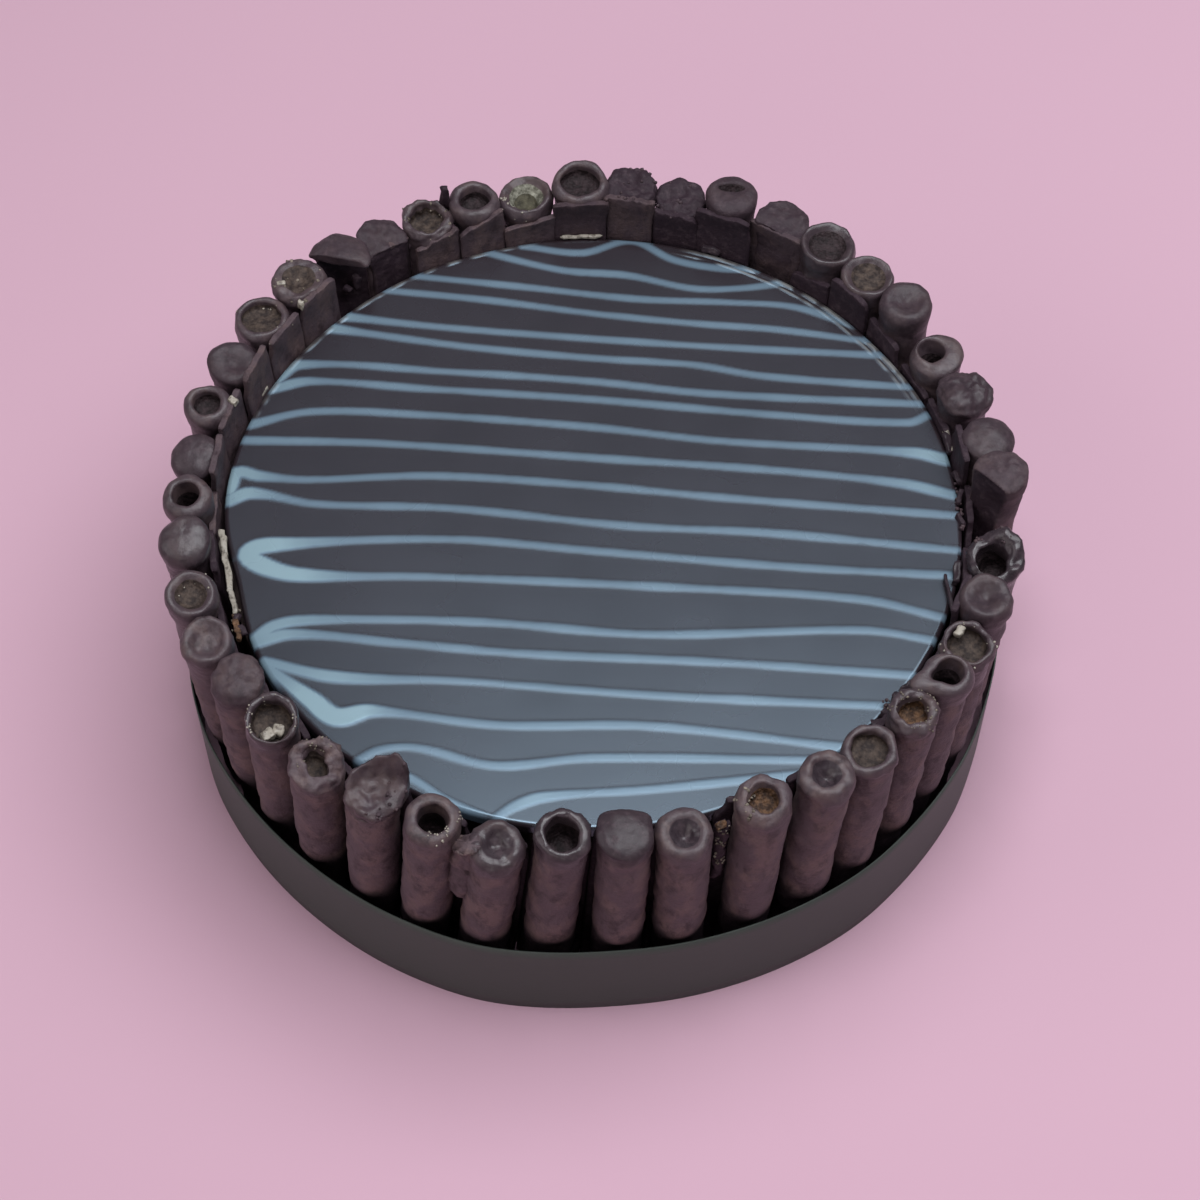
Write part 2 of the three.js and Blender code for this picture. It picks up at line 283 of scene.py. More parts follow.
def compound_chocolate():
    """Compound chocolate set on wafer: dull brown with reddish smears, dark stains and a dusty bloom where
    it was handled, darker on the flat plates, and grey and satin on the rolls' ends, where it ran thick."""
    made, tree, shader, place = material("compound_chocolate")
    gloss = node(tree, "Attribute", {}, attribute_name="gloss").outputs["Fac"]
    # The plate attribute carries the dark colour of plates, dark ends, bits and crumbs, and painted shade:
    # low on the rolls behind the strip, in roll 05's hollow and on the slivers. Plates painted lighter, as
    # lit, get less.
    plate = node(tree, "Attribute", {}, attribute_name="plate").outputs["Fac"]
    drawn = node(tree, "Mapping", {"Vector": place, "Scale": (1, 1, 0.6)}).outputs["Vector"]
    smear = node(tree, "TexNoise", {"Vector": drawn, "Scale": per(8), "Detail": 4, "Roughness": 0.65})
    smeared = node(tree, "MapRange", {0: smear.outputs[0], 1: 0.42, 2: 0.64},
                   interpolation_type="SMOOTHSTEP")
    stain = node(tree, "TexNoise", {"Vector": drawn, "Scale": per(5), "Detail": 6, "Roughness": 0.72})
    stained = node(tree, "MapRange", {0: stain.outputs[0], 1: 0.5, 2: 0.66, 4: 0.9})
    dust = node(tree, "TexNoise", {"Vector": place, "Scale": per(2.2), "Detail": 6, "Roughness": 0.7})
    dusty = node(tree, "MapRange", {0: dust.outputs[0], 1: 0.5, 2: 0.75, 4: 0.6})
    body = node(tree, "Mix", {0: smeared.outputs[0], 6: linear("#4d3f44"), 7: linear("#604e4d")},
                data_type="RGBA")
    marked = node(tree, "Mix", {0: stained.outputs[0], 6: body.outputs[2], 7: linear("#2d2023")},
                  data_type="RGBA")
    # The plates' dark colour, which is also painted shade where the plate attribute marks shade.
    flat = node(tree, "Mix", {0: plate, 6: marked.outputs[2], 7: linear("#2b2027")}, data_type="RGBA")
    head = node(tree, "Mix", {0: gloss, 6: flat.outputs[2], 7: linear("#2b2328")}, data_type="RGBA")
    bloom = node(tree, "Mix", {0: dusty.outputs[0], 6: head.outputs[2], 7: linear("#4e4146")},
                 data_type="RGBA")
    polish = node(tree, "MapRange", {0: smear.outputs[0], 1: 0.35, 2: 0.65, 3: 0.2, 4: 0.32})
    rough = node(tree, "Mix", {0: gloss, 2: 0.62, 3: polish.outputs[0]})
    grain = node(tree, "TexNoise", {"Vector": place, "Scale": per(1.8), "Detail": 6, "Roughness": 0.7})
    depth = node(tree, "MapRange", {0: gloss, 1: 0.0, 2: 1.0, 3: 0.8, 4: 0.12})
    relief = node(tree, "Bump", {"Height": grain.outputs[0], "Strength": depth.outputs[0],
                                 "Distance": 0.6 * MM})
    sheen = node(tree, "MapRange", {0: plate, 1: 0.0, 2: 1.0, 3: 0.4, 4: 0.15})
    feed(tree, shader, {"Base Color": bloom.outputs[2], "Roughness": rough.outputs[0],
                        "Normal": relief.outputs[0], "Specular IOR Level": sheen.outputs[0], "IOR": 1.46})
    return made


def baked_wafer(name, dark, light, crumbling):
    """Baked wafer or its filling, dry and crumbly, paler where it is less toasted."""
    made, tree, shader, place = material(name)
    toast = node(tree, "TexNoise", {"Vector": place, "Scale": per(2.2), "Detail": 5, "Roughness": 0.7})
    toasted = node(tree, "MapRange", {0: toast.outputs[0], 1: 0.4, 2: 0.68})
    crumb = node(tree, "Mix", {0: toasted.outputs[0], 6: linear(dark), 7: linear(light)},
                 data_type="RGBA")
    cells = node(tree, "TexVoronoi", {"Vector": place, "Scale": per(0.9)})
    relief = node(tree, "Bump", {"Height": cells.outputs[0], "Strength": crumbling, "Distance": 0.5 * MM})
    feed(tree, shader, {"Base Color": crumb.outputs[2], "Normal": relief.outputs[0], "Roughness": 0.7,
                        "Specular IOR Level": 0.2})
    return made


def filling_cream():
    """Pale filling cream, soft and slightly moist, with brown flecks of wafer."""
    made, tree, shader, place = material("filling_cream")
    fleck = node(tree, "TexNoise", {"Vector": place, "Scale": per(1.6), "Detail": 4, "Roughness": 0.65})
    flecked = node(tree, "MapRange", {0: fleck.outputs[0], 1: 0.48, 2: 0.66})
    cream = node(tree, "Mix", {0: flecked.outputs[0], 6: linear("#8a8379"), 7: linear("#4b423b")},
                 data_type="RGBA")
    relief = node(tree, "Bump", {"Height": fleck.outputs[0], "Strength": 0.6, "Distance": 0.4 * MM})
    feed(tree, shader, {"Base Color": cream.outputs[2], "Normal": relief.outputs[0], "Roughness": 0.45})
    return made


def poured_ganache():
    """Ganache poured warm and left to level, with white chocolate tinted pale blue run into it while both
    were soft: very dark and smooth, mirroring softly with a blue tint that is painted light, drizzle that
    is paler where it is thick, and pale crumbs along its edge."""
    made, tree, shader, place = material("poured_ganache")
    drizzle = node(tree, "Attribute", {}, attribute_name="drizzle").outputs["Fac"]
    lip = node(tree, "Attribute", {}, attribute_name="lip").outputs["Fac"]
    cloud = node(tree, "TexNoise", {"Vector": place, "Scale": per(30), "Detail": 3})
    dark = node(tree, "Mix", {0: cloud.outputs[0], 6: linear("#1f171a"), 7: linear("#281e22")},
                data_type="RGBA")
    pale = node(tree, "Mix", {0: cloud.outputs[0], 6: linear("#566a79"), 7: linear("#6b8090")},
                data_type="RGBA")
    thick = node(tree, "MapRange", {0: drizzle, 1: DRIZZLE_COVER, 2: 1.0})
    rich = node(tree, "Mix", {0: thick.outputs[0], 6: pale.outputs[2], 7: linear("#738890")},
                data_type="RGBA")
    lined = node(tree, "Mix", {0: drizzle, 6: dark.outputs[2], 7: rich.outputs[2]}, data_type="RGBA")
    edged = node(tree, "Mix", {0: lip, 6: lined.outputs[2], 7: linear("#5a5551")}, data_type="RGBA")
    film = node(tree, "MapRange", {0: cloud.outputs[0], 3: 0.24, 4: 0.3})
    dull = node(tree, "Mix", {0: lip, 2: film.outputs[0], 3: 0.7})
    swell = node(tree, "TexNoise", {"Vector": place, "Scale": per(28), "Detail": 1})
    relief = node(tree, "Bump", {"Height": swell.outputs[0], "Strength": 0.15, "Distance": 0.6 * MM})
    # The specular tint is painted light: it turns the top's reflections blue, for the bluish light that the
    # top mirrors.
    feed(tree, shader, {"Base Color": edged.outputs[2], "Roughness": dull.outputs[0],
                        "Normal": relief.outputs[0], "IOR": 1.6, "Specular IOR Level": 1.0,
                        "Specular Tint": linear("#b2cde0")})
    return made


def card_with_painted_board_light():
    """Dark card, dyed through and calendered smooth, with a faint fibre grain."""
    # The grain is drawn coarser than it is, so that it shows.
    made, tree, shader, place = material("card_with_painted_board_light")
    drawn = node(tree, "Mapping", {"Vector": place, "Scale": (1, 1, 3)}).outputs["Vector"]
    fibre = node(tree, "TexNoise", {"Vector": drawn, "Scale": per(2.5), "Detail": 5, "Roughness": 0.7})
    # The green in both tones is painted light: the glow that the gold board under the cake throws on the
    # dark card.
    tone = node(tree, "Mix", {0: fibre.outputs[0], 6: linear("#303632"), 7: linear("#393f3b")},
                data_type="RGBA")
    relief = node(tree, "Bump", {"Height": fibre.outputs[0], "Strength": 0.15, "Distance": 0.1 * MM})
    feed(tree, shader, {"Base Color": tone.outputs[2], "Normal": relief.outputs[0], "Roughness": 0.55})
    return made


def coated_sponge():
    """The cake's side: sponge under a thin dark coat, rough with crumb."""
    made, tree, shader, place = material("coated_sponge")
    crumb = node(tree, "TexNoise", {"Vector": place, "Scale": per(3.5), "Detail": 6, "Roughness": 0.7})
    tone = node(tree, "Mix", {0: crumb.outputs[0], 6: linear("#1d1414"), 7: linear("#3a2a28")},
                data_type="RGBA")
    relief = node(tree, "Bump", {"Height": crumb.outputs[0], "Strength": 0.8, "Distance": 1.0 * MM})
    feed(tree, shader, {"Base Color": tone.outputs[2], "Normal": relief.outputs[0], "Roughness": 0.7})
    return made


CHOCOLATE = compound_chocolate()
WAFER = baked_wafer("baked_wafer", "#2e2019", "#6b4f3a", 0.8)
# Cocoa wafer for the insides of holes, painted darker still to stand for the shade deep inside them.
COCOA_WITH_PAINTED_SHADE = baked_wafer("cocoa_wafer_with_painted_shade", "#160e10", "#33272a", 0.6)
PRALINE = baked_wafer("praline_filling", "#231b1a", "#4b3f38", 0.4)
TOAST = baked_wafer("toasted_crumb", "#4c443d", "#857b70", 0.8)
OLIVE = baked_wafer("olive_cream", "#45433a", "#8f8d81", 0.4)
OLIVE_CORE = baked_wafer("olive_filling", "#2a271e", "#4c483a", 0.4)
CREAM = filling_cream()


def piece(bm, name, materials, slot, *nodes):
    """Makes a mesh in millimetres a piece of the cake, inside the cake's box. It may stand for nodes of the
    frame."""
    bmesh.ops.scale(bm, vec=(MM, MM, MM), verts=bm.verts)
    for corner in bm.verts:
        corner.co = [min(max(at, low), high) for at, low, high in zip(corner.co, *cad_box)]
    mesh = bpy.data.meshes.new(name)
    bm.to_mesh(mesh)
    bm.free()
    mesh.shade_smooth()
    for finish in materials:
        mesh.materials.append(finish)
    made = bpy.data.objects.new(name, mesh)
    bpy.context.scene.collection.objects.link(made)
    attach(made, "root")
    if nodes:
        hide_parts(*nodes)
    return made


def points_of(name):
    """The corners of a node of the frame, in millimetres."""
    return [vertex.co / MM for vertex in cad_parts[name].data.vertices]


# How the rolls end, kind by kind. A profile is a row of points up the outside and over to the middle: the
# distance from the axis, the height, and 1 where the surface is inside the roll.


def shoulder(radius, crest, length, drop):
    """The outside of an end, rounded from the roll's side to the crest of its rim."""
    turns = [math.pi / 2 * share for share in spread(SHOULDER_RINGS)]
    wide = radius - crest
    return [(crest + wide * math.cos(turn), length - drop * (1 - math.sin(turn)), 0) for turn in turns]


def open_end(radius, length, head):
    """A thick rounded rim round an open tube."""
    bore = radius * head["bore"]
    profile = shoulder(radius, bore + RIM_LIP, length, head["shoulder"])
    for share in spread(RIM_RINGS):
        turn = math.pi / 2 * share
        profile.append((bore + RIM_LIP * (1 - math.sin(turn)), length - RIM_LIP * (1 - math.cos(turn)), 0))
    for share in spread(HOLE_RINGS):
        turn = math.pi / 2 * share
        sink = RIM_LIP + head["depth"] * math.sin(turn) ** 0.5
        profile.append((bore * (1 - share ** 3), length - sink, 1))
    return profile


def dipped_end(radius, length, head):
    """A rounded rim round a shallow bowl."""
    crest = radius * head["bore"]
    profile = shoulder(radius, crest, length, head["shoulder"])
    for share in spread(BOWL_RINGS):
        sink = head["dip"] * ease(0, head["wall"], share)
        profile.append((crest * (1 - share), length - sink, 1 if share > BOWL_LINING else 0))
    return profile


def capped_end(radius, length, head):
    """A dome of chocolate over the end."""
    base = length - head["dome"]
    profile = []
    for share in spread(DOME_RINGS):
        turn = math.pi / 2 * share
        profile.append((radius * math.cos(turn) ** DOME_FULLNESS, base + head["dome"] * math.sin(turn), 0))
    profile[-1] = (0.0, length, 0)
    return profile


def broken_end(radius, length, head):
    """A rough break across the roll."""
    crest = radius - head["shoulder"]
    profile = shoulder(radius, crest, length, head["shoulder"])
    profile += [(crest * (1 - share), length - head["dip"] * share, 0) for share in spread(BREAK_RINGS)]
    return profile


KINDS = {
    "open": (open_end, {"bore": 0.58, "depth": 14.0, "ragged": 0.25, "shoulder": 2.4, "inside": COCOA_WITH_PAINTED_SHADE}),
    "dipped": (dipped_end, {"bore": 0.72, "dip": 2.4, "wall": 1.0, "ragged": 0.2, "shoulder": 2.6}),
    "capped": (capped_end, {"dome": 3.2, "ragged": 0.2}),
    "broken": (broken_end, {"dip": 0.8, "ragged": 0.9, "shoulder": 1.2, "shine": 0.2, "dark": 1.0}),
}

# Each roll's end: its kind, the degrees by which it slopes and the bearing that it slopes down to, and what
# sets it apart from its kind. Bearings are in degrees, 0 to the right and 90 to the back, and sizes are in
# millimetres. Bumps and dents are [right, back, width, rise] from the middle of the end. Flanges are
# [bearing, half width in degrees, reach, depth below the end]. A shift moves the hole or bowl [right,
# back], and a squeeze narrows it by a share along a bearing. Shards are parts of the rim left standing:
# [bearing, half width in degrees, rise]. Facets are flats on the side: [bearing, distance from the axis,
# how far below the end they start and stop, how dark they are]. A swell widens the end. Shine is the gloss
# of the end, a rim dulls it outside the hole or bowl, and dark brings it near the colour of the plates. The
# plate is the distance of its top edge below the end at its left and at its right, as seen from the middle
# of the cake. It has a half width near its top, stands proud of the roll, and may reach over the middle of
# a gap.
# A plate_dark below 1 gives a plate less of the plates' dark colour: painted light, as if more light fell on
# it.
HEADS = {
    "roll_01": ["open", 8, 330, {"swell": 1.12, "depth": 4.0, "bore": 0.6, "plate": (3.0, 1.0)}],
    "roll_02": ["capped", 10, 320, {
        "plate": (0.5, 0.0), "plate_proud": 1.6, "shine": 0.5, "dark": 0.7,
        "bumps": [[-5, 1, 2, 1.0], [-2, 3, 2, 1.2], [2, 4.5, 2, 1.0], [1.5, -1.5, 3.2, -2.4]]}],
    "roll_03": ["open", 5, 320, {"depth": 2.4, "bore": 0.7, "inside": PRALINE, "plate": (1.6, 1.0)}],
    "roll_04": ["dipped", 7, 300, {
        "inside": PRALINE, "ragged": 0.5, "bore": 0.82, "dip": 1.6, "swell": 1.14, "plate": (1.2, 1.0),
        "bumps": [[4, -5, 2, 1.0]]}],
    # Roll 05's second facet is a wall recessed under its cap, in the plates' dark colour: painted shade in
    # the hollow.
    "roll_05": ["capped", 5, 255, {
        "swell": 1.14, "plate": (45.0, 45.0), "ragged": 0.3, "shine": 0.5, "dark": 0.6,
        "facets": [[255, 3.8, 0, 3.4, 0], [290, 0.0, 3.4, 40, 1]],
        "flanges": [[188, 34, 2.2, 3.6], [324, 34, 2.8, 3.6]]}],
    "roll_06": ["capped", 18, 310, {
        "dome": 0.8, "ragged": 0.6, "dark": 0.8, "shine": 0.3, "plate": (4.0, 3.5), "plate_proud": -4.0,
        "plate_half": 7.6, "facets": [[303, 4.0, 0, 90, 1]], "bumps": [[1, 3, 2.5, 1.0]]}],
    "roll_07": ["open", 10, 290, {
        "ragged": 1.0, "depth": 4.0, "bore": 0.68, "inside": PRALINE, "plate": (6.5, 2.5)}],
    "roll_08": ["open", 6, 270, {"bore": 0.6, "depth": 4.5, "plate": (7.0, 1.0)}],
    "roll_09": ["dipped", 7, 260, {
        "inside": OLIVE, "floor": OLIVE_CORE, "bore": 0.84, "dip": 4.2, "wall": 0.65, "ragged": 0.5,
        "plate": (6.5, 4.0), "plate_half": 7.9, "plate_over": 0.2, "swell": 1.16}],
    "roll_10": ["open", 8, 275, {
        "bore": 0.7, "depth": 4.0, "plate": (4.0, 3.0), "plate_half": 8.4, "swell": 1.18,
        "plate_over": 0.4, "plate_dark": 0.8}],
    "roll_11": ["broken", 8, 270, {
        "plate": (0.5, 1.0), "plate_half": 7.8, "plate_dark": 0.6,
        "bumps": [[-4, 1, 3, 1.2], [3, 2, 2.5, 1.2]]}],
    "roll_12": ["broken", 12, 265, {"plate": (2.0, 3.0), "bumps": [[0, 3, 3, 1.0], [3, -1, 2, 0.8]]}],
    "roll_13": ["dipped", 4, 270, {
        "bore": 0.7, "dip": 3.0, "shift": (0, 1.5), "squeeze": (0.6, 90), "swell": 1.12, "inside": COCOA_WITH_PAINTED_SHADE,
        "shine": 0.3, "rim": 0.8, "dark": 0.8, "plate": (4.0, 3.5), "plate_half": 8.4,
        "plate_over": 1.2}],
    "roll_14": ["capped", 14, 290, {
        "dome": 0.9, "ragged": 0.5, "plate": (2.5, 3.0), "dark": 0.9, "shine": 0.3, "plate_half": 9.0,
        "plate_over": 1.2, "plate_proud": -3.4, "plate_dark": 0.6, "facets": [[240, 4.4, 0, 90, 0.6]],
        "bumps": [[5, 1, 2, 1.4]]}],
    "roll_15": ["dipped", 7, 275, {
        "inside": COCOA_WITH_PAINTED_SHADE, "bore": 0.88, "dip": 2.8, "wall": 0.5, "shoulder": 1.6, "shine": 0.8}],
    "roll_16": ["dipped", 6, 265, {
        "inside": PRALINE, "bore": 0.88, "dip": 2.2, "wall": 0.5, "shoulder": 1.6, "shine": 0.7,
        "plate": (1.5, 3.0)}],
    "roll_17": ["dipped", 8, 250, {"bore": 0.7, "dip": 1.8, "swell": 1.08, "dark": 0.6}],
    "roll_18": ["open", 10, 215, {"bore": 0.5, "shift": (-1.8, 0.8)}],
    "roll_19": ["capped", 4, 240, {
        "ragged": 1.1, "dark": 0.6, "bumps": [[0, 1, 1.6, -0.7], [-3, -3, 2, 0.6]]}],
    "roll_20": ["capped", 2, 250, {
        "dome": 2.8, "plate": (3.0, 3.0), "dark": 0.6, "bumps": [[1, 1, 1.4, 0.5]]}],
    "roll_21": ["capped", 12, 190, {
        "dome": 1.6, "swell": 1.14, "plate": (17.0, 17.0), "ragged": 0.4, "shine": 0.2, "dark": 0.6,
        "facets": [[220, 4.6, 0, 90, 1]],
        "bumps": [[3, 2, 1.7, 1.4], [3, 2, 0.8, -1.4], [5, -3, 2.5, 0.8]]}],
    "roll_22": ["open", 14, 235, {
        "ragged": 0.9, "shift": (-1.0, -1.2), "shine": 1.0, "shards": [[50, 70, 2.5]]}],
    "roll_23": ["dipped", 4, 250, {
        "bore": 0.8, "dip": 2.8, "shine": 0.7, "rim": 0.8, "dark": 0.5, "plate": (3.0, 3.0),
        "bumps": [[2.4, -2.0, 2.4, 0.9]]}],
    "roll_24": ["open", 6, 260, {"depth": 4.0, "bore": 0.74, "ragged": 0.8, "inside": PRALINE}],
    "roll_25": ["open", 5, 250, {"bore": 0.56, "shift": (0.8, 0.4), "flanges": [[200, 22, 4.2, 3.0]]}],
    "roll_26": ["open", 6, 230, {"ragged": 0.8, "depth": 5.0, "inside": WAFER}],
    "roll_27": ["open", 5, 250, {
        "depth": 3.4, "bore": 0.68, "inside": PRALINE, "ragged": 0.5, "flanges": [[225, 40, 1.5, 3.0]]}],
    "roll_28": ["dipped", 6, 260, {
        "bore": 0.66, "dip": 3.2, "ragged": 0.5, "shine": 1.0, "rim": 0.5, "bumps": [[-4, 4, 2.5, 1.0]]}],
    "roll_29": ["open", 6, 270, {
        "ragged": 0.6, "depth": 4.0, "bore": 0.54, "inside": WAFER, "shine": 0.4}],
    "roll_30": ["dipped", 6, 275, {"dip": 3.4, "bore": 0.7, "shine": 1.0, "rim": 0.45, "ragged": 0.3}],
    "roll_31": ["capped", 3, 270, {
        "dome": 2.6, "shine": 0.8, "dark": 0.7, "flanges": [[45, 22, 1.6, 4.0], [135, 22, 1.6, 4.0]]}],
    "roll_32": ["open", 6, 270, {
        "bore": 0.64, "depth": 10.0, "shoulder": 2.0, "shine": 0.9, "ragged": 0.5}],
    "roll_33": ["dipped", 8, 285, {
        "dip": 2.8, "shine": 0.9, "rim": 0.8, "ragged": 0.5, "bumps": [[-5, 3, 3, -1.2]]}],
    "roll_34": ["open", 6, 255, {"bore": 0.54, "shine": 0.45}],
    "roll_35": ["broken", 5, 245, {
        "ragged": 0.7, "shine": 0.55, "dark": 0.2, "dip": 2.0, "flanges": [[38, 40, 3.0, 6.0]],
        "shards": [[42, 24, 2.6], [58, 50, 2.4], [95, 85, 2.4]],
        "bumps": [[4, -5, 1.5, -1.6], [1.5, -6.2, 1.2, -1.2], [6.2, -2.6, 1.3, -1.4]]}],
    "roll_36": ["open", 16, 310, {
        "ragged": 1.4, "bore": 0.5, "depth": 6.0, "inside": PRALINE, "shine": 0.25, "squeeze": (0.3, 30),
        "shards": [[55, 45, 2.6], [120, 35, 1.0]]}],
    "roll_37": ["open", 8, 290, {
        "inside": PRALINE, "bore": 0.76, "depth": 5.0, "shoulder": 1.6, "ragged": 0.5, "shine": 0.8}],
    "roll_38": ["capped", 10, 230, {
        "dome": 3.4, "swell": 1.1, "ragged": 0.6, "shine": 0.3, "dark": 0.5,
        "bumps": [[4, -2, 2.5, -1.0]]}],
    "roll_39": ["dipped", 6, 280, {
        "bore": 0.8, "dip": 1.8, "wall": 0.6, "swell": 1.12, "ragged": 0.4, "shine": 0.45,
        "bumps": [[-3, 1, 2.4, 0.8]]}],
    "roll_40": ["dipped", 8, 300, {"inside": PRALINE, "bore": 0.82, "wall": 0.6, "swell": 1.12}],
    "roll_41": ["capped", 10, 270, {"dome": 3.4, "swell": 1.14, "shine": 0.8}],
    "roll_42": ["open", 8, 280, {"swell": 1.14, "bore": 0.52}],
    "roll_43": ["capped", 8, 240, {"dome": 3.6, "swell": 1.16, "dark": 0.5, "plate": (0.8, 0.8)}],
}


def heading(bearing):
    """The way to a bearing in degrees."""
    return Vector((math.cos(math.radians(bearing)), math.sin(math.radians(bearing))))


def roll_place(name):
    """Where a roll of the frame stands, as a matrix from the roll's own frame, with its length and radius.
    There the foot is at the origin, Z runs up the roll and X away from the middle of the cake."""
    points = points_of(name)
    # The frame's meshes are loose triangles, so the middles of the ends are the points that come most often.
    poles = Counter(point.to_tuple(2) for point in points).most_common(2)
    foot, end = sorted((Vector(point) for point, _ in poles), key=lambda point: point.z)
    up = (end - foot).normalized()
    side = up.cross(Vector((foot.x, foot.y, 0))).normalized()
    out = side.cross(up)
    place = Matrix.Translation(foot) @ Matrix((out, side, up)).transposed().to_4x4()
    length = max((point - foot).dot(up) for point in points)
    low = [(point - foot).dot(side) for point in points if point.z < end.z / 2]
    return place, length, (max(low) - min(low)) / 2


def turned(bm, profile, steps):
    """Turns a row of points round the Z axis into a closed shape."""
    edges = [bm.edges.new(pair) for pair in zip(profile, profile[1:])]
    bmesh.ops.spin(bm, geom=profile + edges, axis=(0, 0, 1), cent=(0, 0, 0), dvec=(0, 0, 0),
                   angle=2 * math.pi, steps=steps, use_merge=True)
    bmesh.ops.remove_doubles(bm, verts=bm.verts, dist=1e-3)
    bmesh.ops.recalc_face_normals(bm, faces=bm.faces)


def head_of(name, place, seed):
    """The function for a roll's end, and all settings of the end and of the plate: what chance, its side of
    the cake and its kind give it, and its own."""
    kind, slope, slope_towards, changes = HEADS[name]
    end, usual = KINDS[kind]
    draw = random.Random(seed)
    at_front = place.translation.y < -FRONT_AND_BACK
    at_back = place.translation.y > FRONT_AND_BACK
    bearing = math.atan2(place[1][0], place[0][0])
    return end, {
        "place": place, "bearing": bearing,
        "slope": math.tan(math.radians(slope)), "slope_towards": slope_towards,
        "swell": 1.06 if at_front else 1.11, "bumps": [], "flanges": [], "shards": [], "facets": [],
        "shift": (0, 0), "squeeze": (0, 0), "shine": 0.6, "rim": 1.0, "dark": 0.0,
        "plate": (draw.uniform(9, 12), draw.uniform(9, 12)), "plate_half": 6.8, "plate_over": 0.0,
        "plate_turn": draw.uniform(-5, 5), "plate_proud": draw.uniform(0.5, 1.2),
        # Painted light: plates at the back left are made lighter, as lit.
        "plate_dark": 0.4 if bearing > BACK_LEFT else 1.0,
        "stout": draw.uniform(1.05, 1.1) if at_back else 1.0,
        "drip": draw.uniform(4.0, 7.0) if at_front else draw.uniform(14.0, 20.0),
        **usual, **changes}


def roll(name, before, after, seed):
    """A coated wafer roll, between the roll before it and the one after it clockwise, with a flat plate of
    chocolate down the side towards the cake."""
    place, length, radius = roll_place(name)
    end, head = head_of(name, place, seed)
    head["beside"] = [roll_place(near)[0] for near in (before, after)]
    head_profile = end(radius, length, head)
    crown = head_profile[0][1]
    bm = bmesh.new()
    inside = bm.verts.layers.float.new("inside")
    body_steps = round((crown - HEAD_ZONE) / BODY_RING)
    head_steps = round(HEAD_ZONE / HEAD_RING)
    heights = [FOOT_BEVEL + (crown - HEAD_ZONE - FOOT_BEVEL) * share for share in spread(body_steps)]
    heights += [crown - HEAD_ZONE * (1 - share) for share in spread(head_steps)][:-1]
    profile = [(0.0, 0.0, 0), (radius - FOOT_BEVEL, 0.0, 0), (radius, FOOT_BEVEL, 0)]
    profile += [(radius, height, 0) for height in heights] + head_profile
    line = []
    for reach, height, hollow in profile:
        corner = bm.verts.new((reach, 0, height))
        corner[inside] = hollow
        line.append(corner)
    turned(bm, line, ROLL_STEPS)
    floor = min((height for _, height, hollow in head_profile if hollow), default=0) + LINING_FLOOR
    for face in bm.faces:
        if min(corner[inside] for corner in face.verts) > 0.5:
            face.material_index = 2 if face.calc_center_median().z < floor else 1
    shape_roll(bm, radius, length, head, seed)
    roughen_roll(bm, length, head, seed)
    plate(bm, radius, length, head, seed)
    bmesh.ops.transform(bm, matrix=place, verts=bm.verts)
    lining = head.get("inside", CHOCOLATE)
    return piece(bm, "wafer_" + name, [CHOCOLATE, lining, head.get("floor", lining)], "chocolate", name)


def wafer_ring():
    """All the rolls, each between its neighbours."""
    names = sorted(HEADS)
    neighbours = zip(names, names[-1:] + names[:-1], names[1:] + names[:1])
    return [roll(*around, seed) for seed, around in enumerate(neighbours, 1)]


